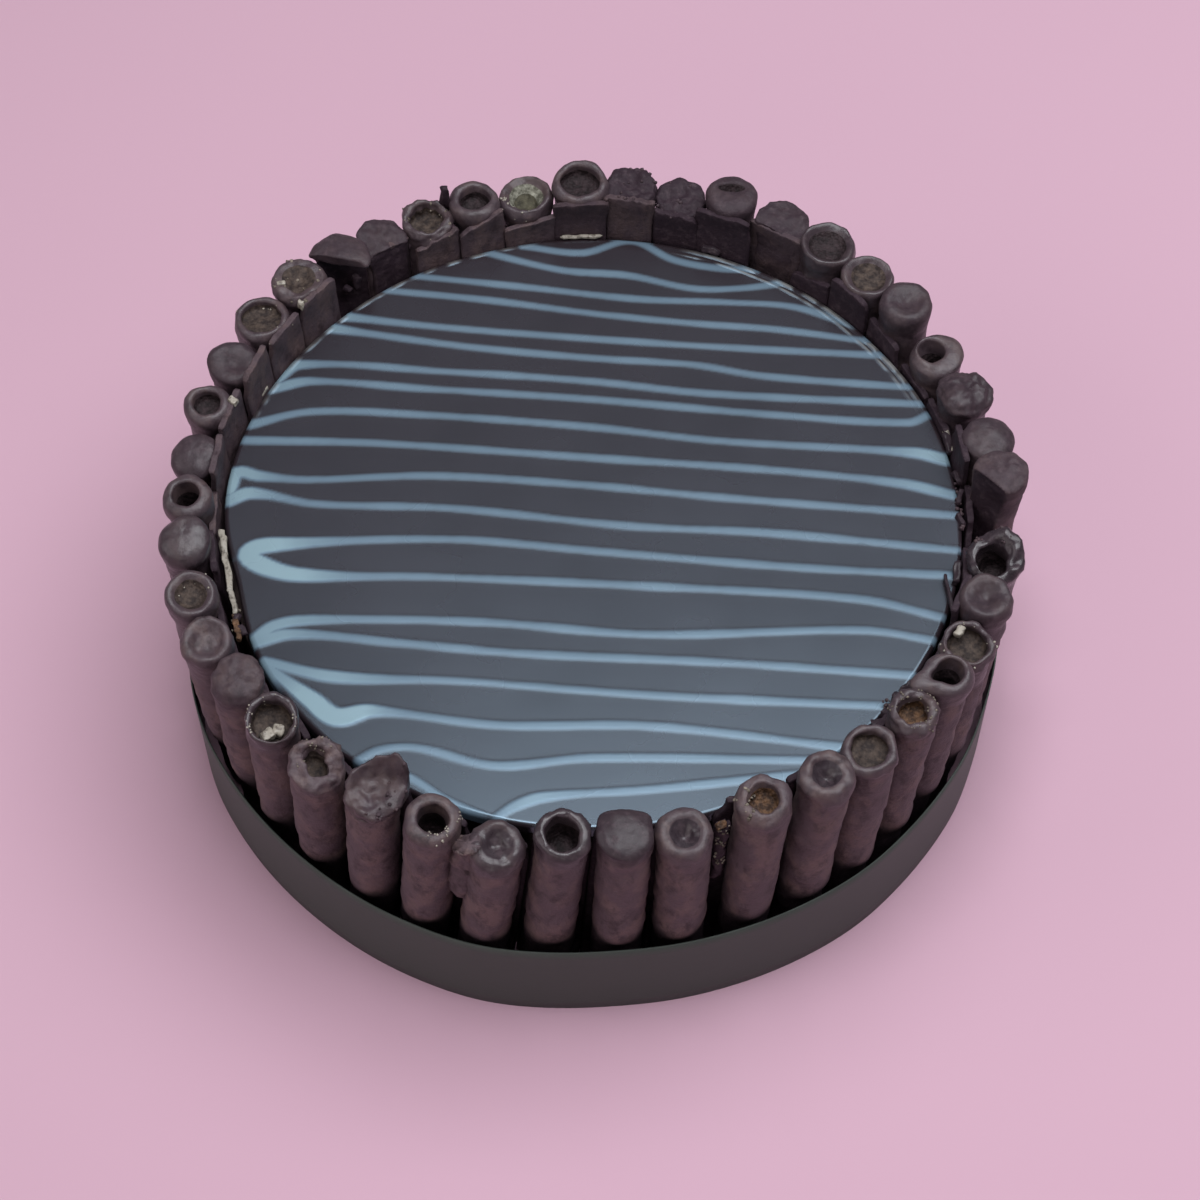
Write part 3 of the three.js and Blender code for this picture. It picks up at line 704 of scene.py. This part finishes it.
def shape_roll(bm, radius, length, head, seed):
    """Gives a turned roll its own kind of end, and its gloss."""
    gloss = bm.verts.layers.float.new("gloss")
    dark = bm.verts.layers.float.new("plate")
    inside = bm.verts.layers.float["inside"]
    bearing = head["bearing"]
    turn_home = Matrix.Rotation(-bearing, 2)
    bumps = [(turn_home @ Vector((right, back)), width, rise) for right, back, width, rise in head["bumps"]]
    shift = turn_home @ Vector(head["shift"])
    squeeze, squeezed_along = head["squeeze"]
    across = turn_home @ heading(squeezed_along)
    facets = [(turn_home @ heading(towards), *rest) for towards, *rest in head["facets"]]
    down = math.radians(head["slope_towards"]) - bearing
    strip_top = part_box("strip")[1].z / MM
    for corner in bm.verts:
        spot = corner.co.xy
        z = corner.co.z
        reach = spot.length
        angle = math.atan2(spot.y, spot.x)
        grip = near_end(SHIFT_ZONE, length, z) * (1 - ease(0.5 * radius, radius, reach))
        spot += grip * (shift - squeeze * spot.dot(across) * across)
        narrow = FOOT_NARROWING * (1 - ease(*FOOT_BAND, z - strip_top))
        swell = (head["swell"] - 1) * (1 - OUTER_SWELL_LOSS * ease(*OUTER_SIDE, math.cos(angle)))
        wide = head["stout"] + swell * near_end(SWELL_ZONE, length, z)
        for flange_bearing, half_width, out, depth in head["flanges"]:
            off = math.remainder(angle + bearing - math.radians(flange_bearing), 2 * math.pi)
            near = math.exp(-(off / math.radians(half_width)) ** 2)
            wide += out / radius * near * near_end((depth, depth - FLANGE_RAMP), length, z)
        corner.co.xy = (spot.x * (wide - narrow), spot.y * wide)
        drip = head["drip"]
        for depth, waves, drift in COAT_WAVES:
            drip += depth * wander(angle, waves, drift * seed)
        coated = ease(-COAT_BLEND, COAT_BLEND, z - length + drip)
        # Painted shade: the rolls take the plates' dark colour from a little above the strip's top edge
        # down, for the dark pocket behind the strip.
        painted_strip_shade = 1 - ease(*SHADE_BAND, z - strip_top)
        flat = 0.0
        for way, out, top, foot, shade in facets:
            held = near_end((foot + FACET_FOOT_RAMP, foot), length, z)
            held *= 1 - near_end((top, top - FACET_TOP_RAMP), length, z)
            over = held * max(0.0, corner.co.xy.dot(way) - out)
            corner.co.xy -= over * way
            flat = max(flat, shade * ease(0, FACET_BLEND, over))
        corner[dark] = max(head["dark"] * coated, painted_strip_shade, flat)
        risen = near_end([radius * share for share in SLOPE_RADII], length, z)
        along = spot.x * math.cos(down) + spot.y * math.sin(down)
        corner.co.z -= risen * head["slope"] * (along + radius)
        for shard_bearing, half_width, rise in head["shards"]:
            off = math.remainder(angle + bearing - math.radians(shard_bearing), 2 * math.pi)
            near = 1 - ease(*SHARD_ENDS, abs(off) / math.radians(half_width))
            corner.co.z += rise * near * near_end(SHARD_ZONE, length, z) * ease(*SHARD_RIM, reach / radius)
        for middle, width, rise in bumps:
            near = math.exp(-((spot - middle).length / width) ** 2)
            corner.co.z += rise * near * near_end(BUMP_ZONE, length, z)
        corner[gloss] = coated * (1 - flat) * (1 if corner[inside] > 0.5 else head["rim"])


def roughen_roll(bm, length, head, seed):
    """Gives a shaped roll its lumps and dents, and keeps its end no higher than it was."""
    gloss = bm.verts.layers.float["gloss"]
    away = Vector((0, 0, 100.0 * seed))
    bm.normal_update()
    for corner in bm.verts:
        spot = corner.co + away
        near = near_end(ROUGH_ZONE, length, corner.co.z)
        rough = near * head["ragged"] * RAGGED_DEPTH
        bulge = Vector(at / size for at, size in zip(spot, LUMP_SIZE))
        lump = LUMP_DEPTH * noise.noise(bulge) + DENT_DEPTH * noise.noise(spot / DENT_SIZE)
        lump += (GRAIN_DEPTH * (1 - near) + rough) * noise.noise(spot / GRAIN_SIZE)
        lump += RAGGED_COARSE * rough * noise.noise(spot / (2 * GRAIN_SIZE))
        corner.co += corner.normal * lump
        corner[gloss] *= head["shine"]
    over = max(0.0, max(corner.co.z for corner in bm.verts) - length)
    for corner in bm.verts:
        corner.co.z -= over * near_end(SETTLE_ZONE, length, corner.co.z)


def block(bm, cuts):
    """Adds a cube of side 1 with a grid of corners, and gives those corners."""
    made = bmesh.ops.create_cube(bm, size=1)["verts"]
    sides = {side for corner in made for side in corner.link_edges}
    cut = bmesh.ops.subdivide_edges(bm, edges=list(sides), cuts=cuts, use_grid_fill=True)["geom"]
    return {corner for face in only(bmesh.types.BMFace, cut) for corner in face.verts}


def plate(bm, radius, length, head, seed):
    """Adds the sheet of chocolate that a roll lay in while it set: thin, flat, and broken along its top."""
    dark = bm.verts.layers.float["plate"]
    left, right = head["plate"]
    slant = math.tan(math.radians(head["plate_turn"]))
    rag = PLATE_RAGGED * (0.5 + head["ragged"])
    for corner in block(bm, PLATE_CUTS):
        through, across, up = corner.co * 2
        top = length - left * (1 + across) / 2 - right * (1 - across) / 2
        top -= PLATE_CORNER_DROP * abs(across) ** 10
        for share, often, drift in PLATE_BREAKS:
            top += share * rag * noise.noise(Vector((often * across, 0, drift * seed)))
        z = top - (top - PLATE_FOOT) * ((1 - up) / 2) ** PLATE_CROWDING
        wide = head["stout"] + (head["swell"] - 1) * near_end(SWELL_ZONE, length, z)
        front = radius * wide + head["plate_proud"] * ease(PLATE_FOOT, PLATE_FOOT + PLATE_LEAN, z)
        back = Vector((-front, 0, z))
        beside = head["beside"][0 if across > 0 else 1]
        room = (head["place"] @ back - beside @ back).length / 2 - PLATE_GAP + head["plate_over"]
        wave = Vector((z / PLATE_WAVE, across, 17.0 * seed))
        half = head["plate_half"] + PLATE_WANDER * noise.noise(wave)
        # Below its top the plate widens to meet its neighbours' plates: a dark sheet that stands for the
        # shade in the gaps between the rolls.
        half += (room - half) * (1 - near_end(PLATE_TOP_ZONE, top, z))
        y = half * across
        thin = 1 - PLATE_EDGE_THINNING * max(abs(across), up) ** 12
        wave = Vector((y / PLATE_WAVE, z / PLATE_WAVE, 19.0 * seed))
        front += PLATE_WAVE_DEPTH * noise.noise(wave)
        corner.co = (PLATE_THICKNESS * (0.5 + 0.5 * through * thin) - front + slant * y, y, z)
        # The plates' dark colour, lessened where the plate is painted lighter, as lit.
        corner[dark] = head["plate_dark"]


# Each stroke of drizzle, as the points that it runs through, in millimetres across the top.
STROKES = [
    [(-21, 101.5), (-3, 98.8), (12, 103.4), (24.7, 96), (38.7, 92.5), (50, 92)],
    [(-34, 99.5), (-9, 91.8), (10.7, 89.7), (30.3, 84.5), (45, 84.6), (60, 87)],
    [(-54, 89.5), (-20, 85), (13.5, 80.3), (41.5, 78.9), (61, 77), (78, 69.5)],
    [(-62, 83.7), (-31, 79.8), (0, 74.6), (30, 70.7), (55.6, 68.2), (83.5, 63.4)],
    [(-75, 73.5), (-48, 69.6), (-12, 65.8), (36, 61.6), (87.5, 58.1)],
    [(-79, 69), (-37, 61.6), (0, 57.2), (30, 54.6), (50, 50.4), (94, 46)],
    [(-93.5, 48), (-86, 54.6), (-45, 52.2), (0, 48.3), (33, 43.8), (97.5, 39.6)],
    [(-94.5, 45), (-83, 48.3), (-51, 45.7), (0, 41.5), (50, 36), (92, 32.8), (99, 36.3)],
    [(-100.5, 31.5), (-82, 36.8), (-48, 35.6), (0, 31.1), (36, 26.1), (93, 21.6), (103.5, 18.5)],
    [(-101.6, 26.2), (-62, 25.1), (0, 19.8), (55.6, 14.9), (89, 10.4), (104, 6)],
    [(-103.7, 8.5), (-101.5, 14.3), (-96, 13.2), (-82, 11.8), (-45, 13.2), (0, 9.7), (36, 5.5),
     (104.5, -1.2)],
    [(-104.2, 3.6), (-97.4, 6.9), (-79, 3.1), (-40, 1.5), (10.7, -4.8), (50, -7.2), (104.2, -13.5)],
    [(102.5, -22.2), (55.6, -19.1), (0, -13.5), (-40, -9.5), (-89, -11.4), (-96.5, -14.2), (-93, -18.4),
     (-82, -21.9), (-45, -22.6), (16, -25.8), (75, -30.3), (97.7, -36.6)],
    [(-94.5, -46), (-87.6, -39.4), (-76, -37.3), (-31, -38), (16, -42.2), (75, -40.8), (95, -44.3)],
    [(-94.5, -46), (-83, -42.2), (-54, -45), (-20, -48.5), (36, -51.6), (90, -56)],
    [(-89.5, -51.4), (-71, -56.3), (-37, -57.7), (16, -62.3), (82, -66)],
    [(-89, -53), (-76, -64), (-69, -69.5), (-59.5, -67.5), (-26, -72), (16, -72.4), (70, -79.5)],
    [(-63.7, -84.3), (-56.7, -80), (-47, -79.4), (-26, -85), (0, -82.6), (63, -83.4)],
    [(-26, -102), (-20, -97.7), (-12, -94.8), (16, -92.5), (57, -87.6)],
    [(-63.7, -84), (-50, -88), (-38, -96), (-26, -102)],
]

# Where the drizzle runs thicker: the place, the reach and the share by which it is wider there.
THICK_SPOTS = [
    ((-95, -15.5), 9, 1.2),
    ((-84, -21.5), 13, 1.0),
    ((-88, -43), 10, 0.5),
    ((-76, -64), 12, 1.1),
    ((-66, -69), 9, 1.0),
    ((-101, 10), 9, 0.9),
    ((-90, 51), 9, 0.6),
    ((-80, 70), 10, 0.5),
    ((-97, 30), 8, 0.4),
    ((98, 20), 12, 0.8),
    ((-16, -96), 10, 0.4),
]

# Where the edge shows a pale crumbly lip: the first and last bearing, how strongly, and how strongly it
# does so again a little further in.
LIPS = [(20, 78, 1.0, 1.0), (96, 164, 0.6, 0.0)]

# Where the edge draws back: the bearing, the half width in degrees and the depth.
DRAWN_BACK = (194, 11, 3.0)


def drizzle_reader():
    """Gives a function from a place on the top to how much drizzle lies there, from 0 to 1."""
    samples = []
    for stroke in STROKES:
        knots = [Vector((x, y, 0)) for x, y in stroke]
        around = zip(knots[:1] + knots, knots[1:] + knots[-1:])
        ways = [(after - before).normalized() for before, after in around]
        for start, stop, leaving, arriving in zip(knots, knots[1:], ways, ways[1:]):
            pull = (stop - start).length / 3
            count = max(3, round(3 * pull / DRIZZLE_SAMPLE))
            curve = (start, start + pull * leaving, stop - pull * arriving, stop)
            samples += interpolate_bezier(*curve, count)
    tree = KDTree(len(samples))
    for index, sample in enumerate(samples):
        tree.insert(sample, index)
    tree.balance()

    def drizzle(spot):
        line, _, away = tree.find(Vector((spot.x, spot.y, 0)))
        thick = DRIZZLE_WANDER * noise.noise(line / DRIZZLE_WAVE)
        for place, reach, more in THICK_SPOTS:
            off = (line.xy - Vector(place)).length / reach
            thick += more * math.exp(-off * off)
        width = DRIZZLE_HALF_WIDTH * (1 + thick)
        cover = DRIZZLE_COVER + (1 - DRIZZLE_COVER) * min(1.0, max(0.0, thick))
        return cover * (1 - ease(width - DRIZZLE_SOFTNESS, width + DRIZZLE_SOFTNESS, away))

    return drizzle


def ganache_rim(bearing):
    """The distance of the ganache's edge from the middle. It wanders a little, and is less on the left."""
    towards, half_width, depth = DRAWN_BACK
    off = math.remainder(bearing - math.radians(towards), 2 * math.pi)
    drawn = depth * math.exp(-(off / math.radians(half_width)) ** 2)
    return GANACHE_RADIUS + RIM_WANDER * wander(bearing, RIM_WAVES, 0) - drawn


def ganache():
    """The poured layer with the drizzle in it: level on top, with an edge that rounds off."""
    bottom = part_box("ganache_top")[0].z / MM
    top = max(point.z for point in points_of("ganache_top") if point.xy.length < 1)
    drizzle = drizzle_reader()
    bm = bmesh.new()
    lined = bm.verts.layers.float.new("drizzle")
    lip = bm.verts.layers.float.new("lip")
    bmesh.ops.create_grid(bm, x_segments=GANACHE_COLUMNS, y_segments=GANACHE_ROWS, size=1)
    level = GANACHE_RADIUS - GANACHE_EDGE
    for corner in bm.verts:
        across, turn = corner.co.xy * math.pi / 2
        corner.co = Vector((math.sin(across) * math.cos(turn), math.sin(turn), 0)) * level
    bmesh.ops.remove_doubles(bm, verts=bm.verts, dist=1e-2)
    for corner in bm.verts:
        bearing = math.atan2(corner.co.y, corner.co.x)
        share = corner.co.length / level
        corner.co *= 1 + (ganache_rim(bearing) / GANACHE_RADIUS - 1) * share ** RIM_SHARPNESS
        degrees = math.degrees(bearing)
        crumbly = 0.0
        for first, last, outer, inner in LIPS:
            ridge = outer * ease(*LIP_BAND, share)
            ridge += inner * math.exp(-((share - INNER_LIP) / INNER_LIP_WIDTH) ** 2)
            begun = ease(first, first + LIP_FADE, degrees)
            crumbly += ridge * begun * (1 - ease(last - LIP_FADE, last, degrees))
        crumbly *= ease(-0.4, 0.4, noise.noise(corner.co / LIP_CRUMB))
        corner[lined] = drizzle(corner.co)
        corner[lip] = crumbly
        corner.co.z = top + DRIZZLE_RELIEF * corner[lined] + LIP_RISE * crumbly
    edge = [side for side in bm.edges if side.is_boundary]
    for share in spread(GANACHE_EDGE_RINGS):
        grown = bmesh.ops.extrude_edge_only(bm, edges=edge)["geom"]
        edge = only(bmesh.types.BMEdge, grown)
        turn = math.pi / 2 * share
        drop = GANACHE_EDGE * (1 - math.cos(turn))
        for corner in only(bmesh.types.BMVert, grown):
            out = corner.co.xy.normalized()
            reach = ganache_rim(math.atan2(out.y, out.x)) - GANACHE_EDGE * (1 - math.sin(turn))
            corner.co = (*(out * reach), top - drop)
    grown = bmesh.ops.extrude_edge_only(bm, edges=edge)["geom"]
    for corner in only(bmesh.types.BMVert, grown):
        corner.co.z = bottom
    bmesh.ops.edgeloop_fill(bm, edges=only(bmesh.types.BMEdge, grown))
    bmesh.ops.recalc_face_normals(bm, faces=bm.faces)
    piece(bm, "ganache", [poured_ganache()], "ganache", "ganache_top")


def strip_reach():
    """The strip's inner face in the frame as a function from bearing in degrees to distance."""
    rows = {}
    for point in points_of("strip"):
        bearing = round(math.degrees(math.atan2(point.y, point.x)) % 360, 2)
        rows[bearing] = min(rows.get(bearing, math.inf), point.xy.length)
    known = sorted(rows.items())
    known = [(known[-1][0] - 360, known[-1][1])] + known + [(known[0][0] + 360, known[0][1])]

    def reach(bearing):
        within = bearing % 360
        for (low, near), (high, far) in zip(known, known[1:]):
            if low <= within <= high:
                return near + (far - near) * (within - low) / (high - low)
        return known[0][1]

    return reach


def uprights(bm, least):
    """The edges of a mesh that rise by more than that."""
    return [side for side in bm.edges if abs(side.verts[0].co.z - side.verts[1].co.z) > least]


def strip():
    """The card strip, wound once round the rolls' feet with its end lapped over its start."""
    reach = strip_reach()
    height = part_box("strip")[1].z / MM
    start, lap = STRIP_LAP
    stop = lap + 360
    bm = bmesh.new()
    line = []
    steps = round((stop - start) / STRIP_STEP)
    for step in range(steps + 1):
        bearing = start + (stop - start) * step / steps
        near = [reach(bearing + turn * STRIP_SMOOTHING) for turn in (-1, -0.5, 0, 0.5, 1)]
        over = ease(start + 360 - STRIP_LAP_RAMP, start + 360, bearing)
        out = sum(near) / len(near) + over * (STRIP_THICKNESS + STRIP_LAP_GAP) - STRIP_FLARE
        angle = math.radians(bearing)
        line.append(bm.verts.new((out * math.cos(angle), out * math.sin(angle), 0)))
    edges = [bm.edges.new(pair) for pair in zip(line, line[1:])]
    grown = bmesh.ops.extrude_edge_only(bm, edges=edges)["geom"]
    for corner in only(bmesh.types.BMVert, grown):
        out = corner.co.xy.normalized() * 2 * STRIP_FLARE
        corner.co += Vector((out.x, out.y, height))
    bmesh.ops.subdivide_edges(bm, edges=uprights(bm, height / 2), cuts=STRIP_CUTS)
    bmesh.ops.recalc_face_normals(bm, faces=bm.faces)
    bm.faces.ensure_lookup_table()
    if bm.faces[0].normal.dot(bm.faces[0].calc_center_median()) < 0:
        bmesh.ops.reverse_faces(bm, faces=bm.faces)
    bmesh.ops.solidify(bm, geom=bm.faces[:], thickness=-STRIP_THICKNESS)
    bmesh.ops.recalc_face_normals(bm, faces=bm.faces)
    piece(bm, "card_strip", [card_with_painted_board_light()], "card", "strip")


# Each sliver: its height, half depth and half width, how far out and aside it stands, how dark it is, as
# painted shade of the gap it stands in, how ragged it is, and the seed of its noise.
SLIVERS = {
    "sliver_01": (86.0, 3.0, 4.0, 3.0, 1.6, 0.1, 0.9, 61),
    "sliver_02": (84.0, 1.6, 1.8, -1.2, 0.0, 1.0, 0.8, 62),
}


def sliver(name, tall, deep, wide, out, aside, painted_shade, ragged, seed):
    """A broken sliver of a roll that stands in a gap between two others and thins away towards its foot."""
    place = roll_place(name)[0]
    bm = bmesh.new()
    bmesh.ops.create_cone(bm, cap_ends=True, cap_tris=True, segments=SLIVER_SIDES, radius1=1, radius2=1,
                          depth=tall)
    bmesh.ops.subdivide_edges(bm, edges=uprights(bm, tall / 2), cuts=SLIVER_CUTS)
    dark = bm.verts.layers.float.new("plate")
    for corner in bm.verts:
        z = corner.co.z + tall / 2
        slim = SLIVER_LEAST + (1 - SLIVER_LEAST) * ease(SLIVER_FOOT, SLIVER_FOOT + SLIVER_TAPER, z)
        sunk = SLIVER_SINK * (1 - slim)
        corner.co = (deep * corner.co.x * slim + out - sunk, wide * corner.co.y * slim + aside, z)
        # Painted shade: the sliver takes the plates' dark colour, for the shade of the gap between two
        # rolls.
        corner[dark] = painted_shade
        spot = corner.co + Vector((0, 0, 50.0 * seed))
        waves = [share * ragged * noise.noise_vector(spot / size) for share, size in SLIVER_WAVES]
        corner.co += sum(waves, Vector())
        slanted = ease(tall - SLIVER_SLANT_DEPTH, tall, z)
        corner.co.z -= SLIVER_SLANT * (wide + aside - corner.co.y) * slanted
        if z > tall - SLIVER_BREAK:
            corner.co.z += SLIVER_BREAK_DEPTH * ragged * (noise.noise(spot / SLIVER_BREAK_SIZE) - 1)
    bmesh.ops.transform(bm, matrix=place, verts=bm.verts)
    return piece(bm, "broken_" + name, [CHOCOLATE], "chocolate", name)


# Broken bits that lie along the edge and on the rolls: the middle, the size, the turn round Z and the tilt
# in degrees, the gloss, and the finish as 0 for chocolate, 1 for wafer and 2 for cream.
BITS = [
    [(-103.8, -11, 75.6), (2.0, 9, 2.0), 10, 0, 0, 2],
    [(-101.8, -21.5, 75.6), (1.7, 15, 2.0), 11, 0, 0, 2],
    [(-99.6, -31.5, 75.5), (1.5, 9, 1.8), 13, 0, 0, 2],
    [(-98.0, -40, 75.4), (1.5, 9, 1.8), 14, 0, 0, 1],
    [(-86.2, -80.7, 83.6), (3.6, 3.0, 2.2), 30, 0, 0, 2],
    [(-83.6, -79.4, 83.4), (3.4, 2.8, 2.4), -20, 0, 0, 2],
    [(-84.9, 65.3, 90.0), (1.8, 1.8, 3.2), 50, 0, 0, 2],
    [(-91.5, 73.4, 90.0), (2.4, 1.6, 1.4), 10, 0, 0, 2],
    [(-103.0, 31.0, 87.4), (2.0, 3.0, 1.6), 60, 0, 0, 2],
    [(-96.2, 44.0, 76.0), (1.3, 4.0, 1.2), -25, 0, 0, 2],
    [(100.4, -47.6, 84.4), (3.2, 2.2, 1.6), 50, 0, 0, 2],
    [(-70.5, 84.0, 79.0), (2.0, 2.6, 7.0), 30, 12, 0, 0],
    [(-73.5, 82.5, 77.0), (1.6, 2.0, 4.0), 70, 25, 0, 0],
    [(34.0, -108.6, 83.6), (3.0, 2.2, 1.8), 20, 20, 0, 1],
    [(-3.2, 104.6, 76.4), (12.5, 0.9, 0.9), 3, 0, 0, 2],
    [(-44.4, 108.6, 87.0), (2.4, 2.6, 15), 20, 4, 0.3, 0],
    [(36, 99.5, 76.2), (6, 2.0, 2.2), -20, 0, 1, 0],
    [(102.6, 28, 76.4), (1.4, 4.0, 1.6), 20, 20, 0, 2],
    [(104.6, 22.6, 76.6), (1.6, 3.4, 2.0), -25, 30, 0, 2],
    [(103.2, 24.5, 76.0), (2.4, 7.0, 2.4), 14, 10, 1, 0],
    [(99.6, -30.5, 76.8), (1.0, 15, 2.6), 6, 0, 1, 0],
    [(102.2, -22, 76.6), (2.0, 7, 3.0), -8, 12, 1, 0],
    [(104.8, 12, 76.0), (1.6, 4.5, 2.0), 24, 10, 0.3, 0],
    [(105.0, 5, 76.0), (1.4, 5.0, 2.2), -14, 0, 0.3, 0],
    [(104.6, -3, 76.0), (1.6, 4.0, 2.0), 30, 15, 0.3, 0],
    [(86.0, -62, 77.6), (5.0, 3.2, 3.0), 40, 18, 1, 0],
    [(83.5, -65.5, 78.2), (4.4, 3.0, 3.4), -30, 25, 1, 0],
    [(80.6, -69.5, 77.8), (4.6, 3.2, 3.0), 60, 10, 0.6, 0],
    [(77.6, -73.0, 77.2), (4.0, 2.8, 2.6), 15, 20, 0.6, 0],
    [(74.4, -76.6, 76.8), (4.4, 2.6, 2.4), -45, 8, 1, 0],
    [(-96.4, -41.0, 75.6), (2.0, 3.0, 1.8), 30, 10, 0.3, 0],
    [(-98.2, -37.0, 75.6), (1.6, 3.2, 1.8), -20, 10, 0.3, 0],
]


def flake(bm, middle, size, turn, tilt, shine, finish, seed):
    """Adds a broken flake to a mesh."""
    gloss = bm.verts.layers.float["gloss"]
    dark = bm.verts.layers.float["plate"]
    place = Matrix.Translation(middle) @ Matrix.Rotation(math.radians(turn), 4, "Z")
    place = place @ Matrix.Rotation(math.radians(tilt), 4, "X")
    for corner in block(bm, BIT_CUTS):
        ball = corner.co.normalized() * BIT_BALL
        spot = Vector(a * b for a, b in zip(corner.co.lerp(ball, BIT_ROUNDING), size))
        for depth, wave, drift in BIT_WAVES:
            spot += depth * min(size) * noise.noise_vector(spot / wave + Vector((0, 0, drift * seed)))
        corner.co = place @ spot
        corner[gloss] = shine
        corner[dark] = 1
        for face in corner.link_faces:
            face.material_index = finish


def broken_bits():
    """The broken bits along the edge of the ganache and on the rolls."""
    bm = bmesh.new()
    bm.verts.layers.float.new("gloss")
    bm.verts.layers.float.new("plate")
    for seed, bit in enumerate(BITS, 1):
        flake(bm, *bit, seed)
    bmesh.ops.recalc_face_normals(bm, faces=bm.faces)
    piece(bm, "broken_bits", [CHOCOLATE, WAFER, CREAM], "chocolate")


# Pieces whose ends shed crumbs: how many, the largest in millimetres, the finish as 0 for chocolate, 1 for
# toasted crumb and 2 for cream, how far down they lie, and the bearing of the side that they lie on, where
# it is one side.
CRUMBLY = {
    "wafer_roll_03": (10, 0.9, 2, 4, None),
    "wafer_roll_04": (16, 1.3, 1, 4, None),
    "wafer_roll_07": (26, 1.2, 1, 4, None),
    "wafer_roll_09": (14, 1.0, 2, 3.5, 240),
    "wafer_roll_11": (16, 1.8, 0, 4, None),
    "wafer_roll_12": (14, 1.6, 0, 4, None),
    "wafer_roll_22": (14, 1.5, 0, 4, None),
    "wafer_roll_24": (12, 1.0, 2, 4, None),
    "wafer_roll_26": (50, 0.9, 1, 4, None),
    "wafer_roll_29": (26, 1.2, 1, 4, 190),
    "wafer_roll_34": (26, 0.9, 2, 5, 320),
    "wafer_roll_35": (14, 1.7, 0, 12, 315),
    "wafer_roll_36": (20, 1.0, 1, 4, None),
    "wafer_roll_37": (26, 0.9, 2, 4, None),
    "wafer_roll_40": (6, 0.8, 2, 4, None),
    "broken_sliver_02": (40, 1.0, 1, 26, 285),
}

# Loose crumbs: the middle, the spread each way, how many, the largest, and the finish.
LOOSE_CRUMBS = [
    [(-98.4, -38, 75.8), (1.0, 7.0, 0.3), 26, 1.1, 1],
    [(81, -69, 77.2), (2.0, 4.0, 0.5), 26, 1.4, 0],
    [(104.6, 4, 75.8), (0.6, 10.0, 0.4), 30, 1.5, 0],
]


def crumb(bm, middle, size, finish, draw):
    """Adds one crumb to a mesh."""
    dark = bm.verts.layers.float["plate"]
    for corner in bmesh.ops.create_icosphere(bm, subdivisions=1, radius=size / 2)["verts"]:
        corner.co = corner.co * draw.uniform(*CRUMB_UNEVENNESS) + middle
        corner[dark] = CRUMB_DARKNESS
        for face in corner.link_faces:
            face.material_index = finish


def crumbs(standing):
    """Crumbs that cling to the ends of what stands round the cake, or lie loose."""
    draw = random.Random(CRUMB_SEED)
    bm = bmesh.new()
    bm.verts.layers.float.new("plate")
    for made in standing:
        if made.name not in CRUMBLY:
            continue
        count, largest, finish, depth, side = CRUMBLY[made.name]
        top = max(corner.co.z for corner in made.data.vertices)
        near = [corner for corner in made.data.vertices if corner.co.z > top - depth * MM]
        middle = sum((corner.co for corner in near), Vector()) / len(near)
        perches = [corner for corner in near
                   if corner.normal.z > CRUMB_STEEPEST and noise.noise(corner.co / CRUMB_PATCH) > 0]
        if side is not None:
            perches = [corner for corner in perches
                       if (corner.co - middle).xy.normalized().dot(heading(side)) > CRUMB_SIDE]
        for perch in draw.sample(perches, min(count, len(perches))):
            crumb(bm, perch.co / MM, largest * draw.uniform(*CRUMB_SIZES), finish, draw)
    for middle, reach, count, largest, finish in LOOSE_CRUMBS:
        for _ in range(count):
            spot = Vector(draw.uniform(at - share, at + share) for at, share in zip(middle, reach))
            crumb(bm, spot, largest * draw.uniform(*CRUMB_SIZES), finish, draw)
    piece(bm, "crumbs", [CHOCOLATE, TOAST, CREAM], "chocolate")


def turned_to(place, target):
    """How a light or camera at a place is turned to face a target."""
    return (Vector(target) - Vector(place)).to_track_quat("-Z", "Y").to_euler()


def panel(name, size, place, target, radiance, colour):
    """A soft rectangular light, by its size and places in metres."""
    light = bpy.data.lights.new(name, "AREA")
    light.shape = "RECTANGLE"
    light.size, light.size_y = size
    light.energy = radiance * math.pi * size[0] * size[1]
    light.color = linear(colour)[:3]
    lamp = bpy.data.objects.new(name, light)
    lamp.location = place
    lamp.rotation_euler = turned_to(place, target)
    bpy.context.scene.collection.objects.link(lamp)


def studio():
    """A plain floor, soft light, and the camera."""
    bm = bmesh.new()
    bmesh.ops.create_circle(bm, cap_ends=True, segments=64, radius=FLOOR_RADIUS)
    mesh = bpy.data.meshes.new("floor")
    bm.to_mesh(mesh)
    bm.free()
    floor = bpy.data.objects.new("floor", mesh)
    bpy.context.scene.collection.objects.link(floor)
    paint, tree, shader, _ = material("floor_paint")
    feed(tree, shader, {"Base Color": linear(FLOOR_COLOUR), "Roughness": FLOOR_ROUGHNESS})
    mesh.materials.append(paint)
    for light in PANELS:
        panel(*light)
    world = bpy.data.worlds.new("room")
    world.use_nodes = True
    background = world.node_tree.nodes["Background"]
    feed(world.node_tree, background, {"Color": linear(ROOM_COLOUR), "Strength": ROOM_LIGHT})
    scene = bpy.context.scene
    scene.world = world
    scene.view_settings.view_transform = "Standard"
    lens = bpy.data.cameras.new("camera")
    lens.lens = LENS
    lens.sensor_width = SENSOR
    camera = bpy.data.objects.new("camera", lens)
    camera.location = Vector(CAMERA_PLACE) * MM
    camera.rotation_euler = turned_to(CAMERA_PLACE, CAMERA_TARGET)
    scene.collection.objects.link(camera)
    scene.camera = camera


standing = wafer_ring()
ganache()
strip()
standing += [sliver(name, *sizes) for name, sizes in SLIVERS.items()]
broken_bits()
crumbs(standing)
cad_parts["cake_body"].material_slots[0].material = coated_sponge()
studio()
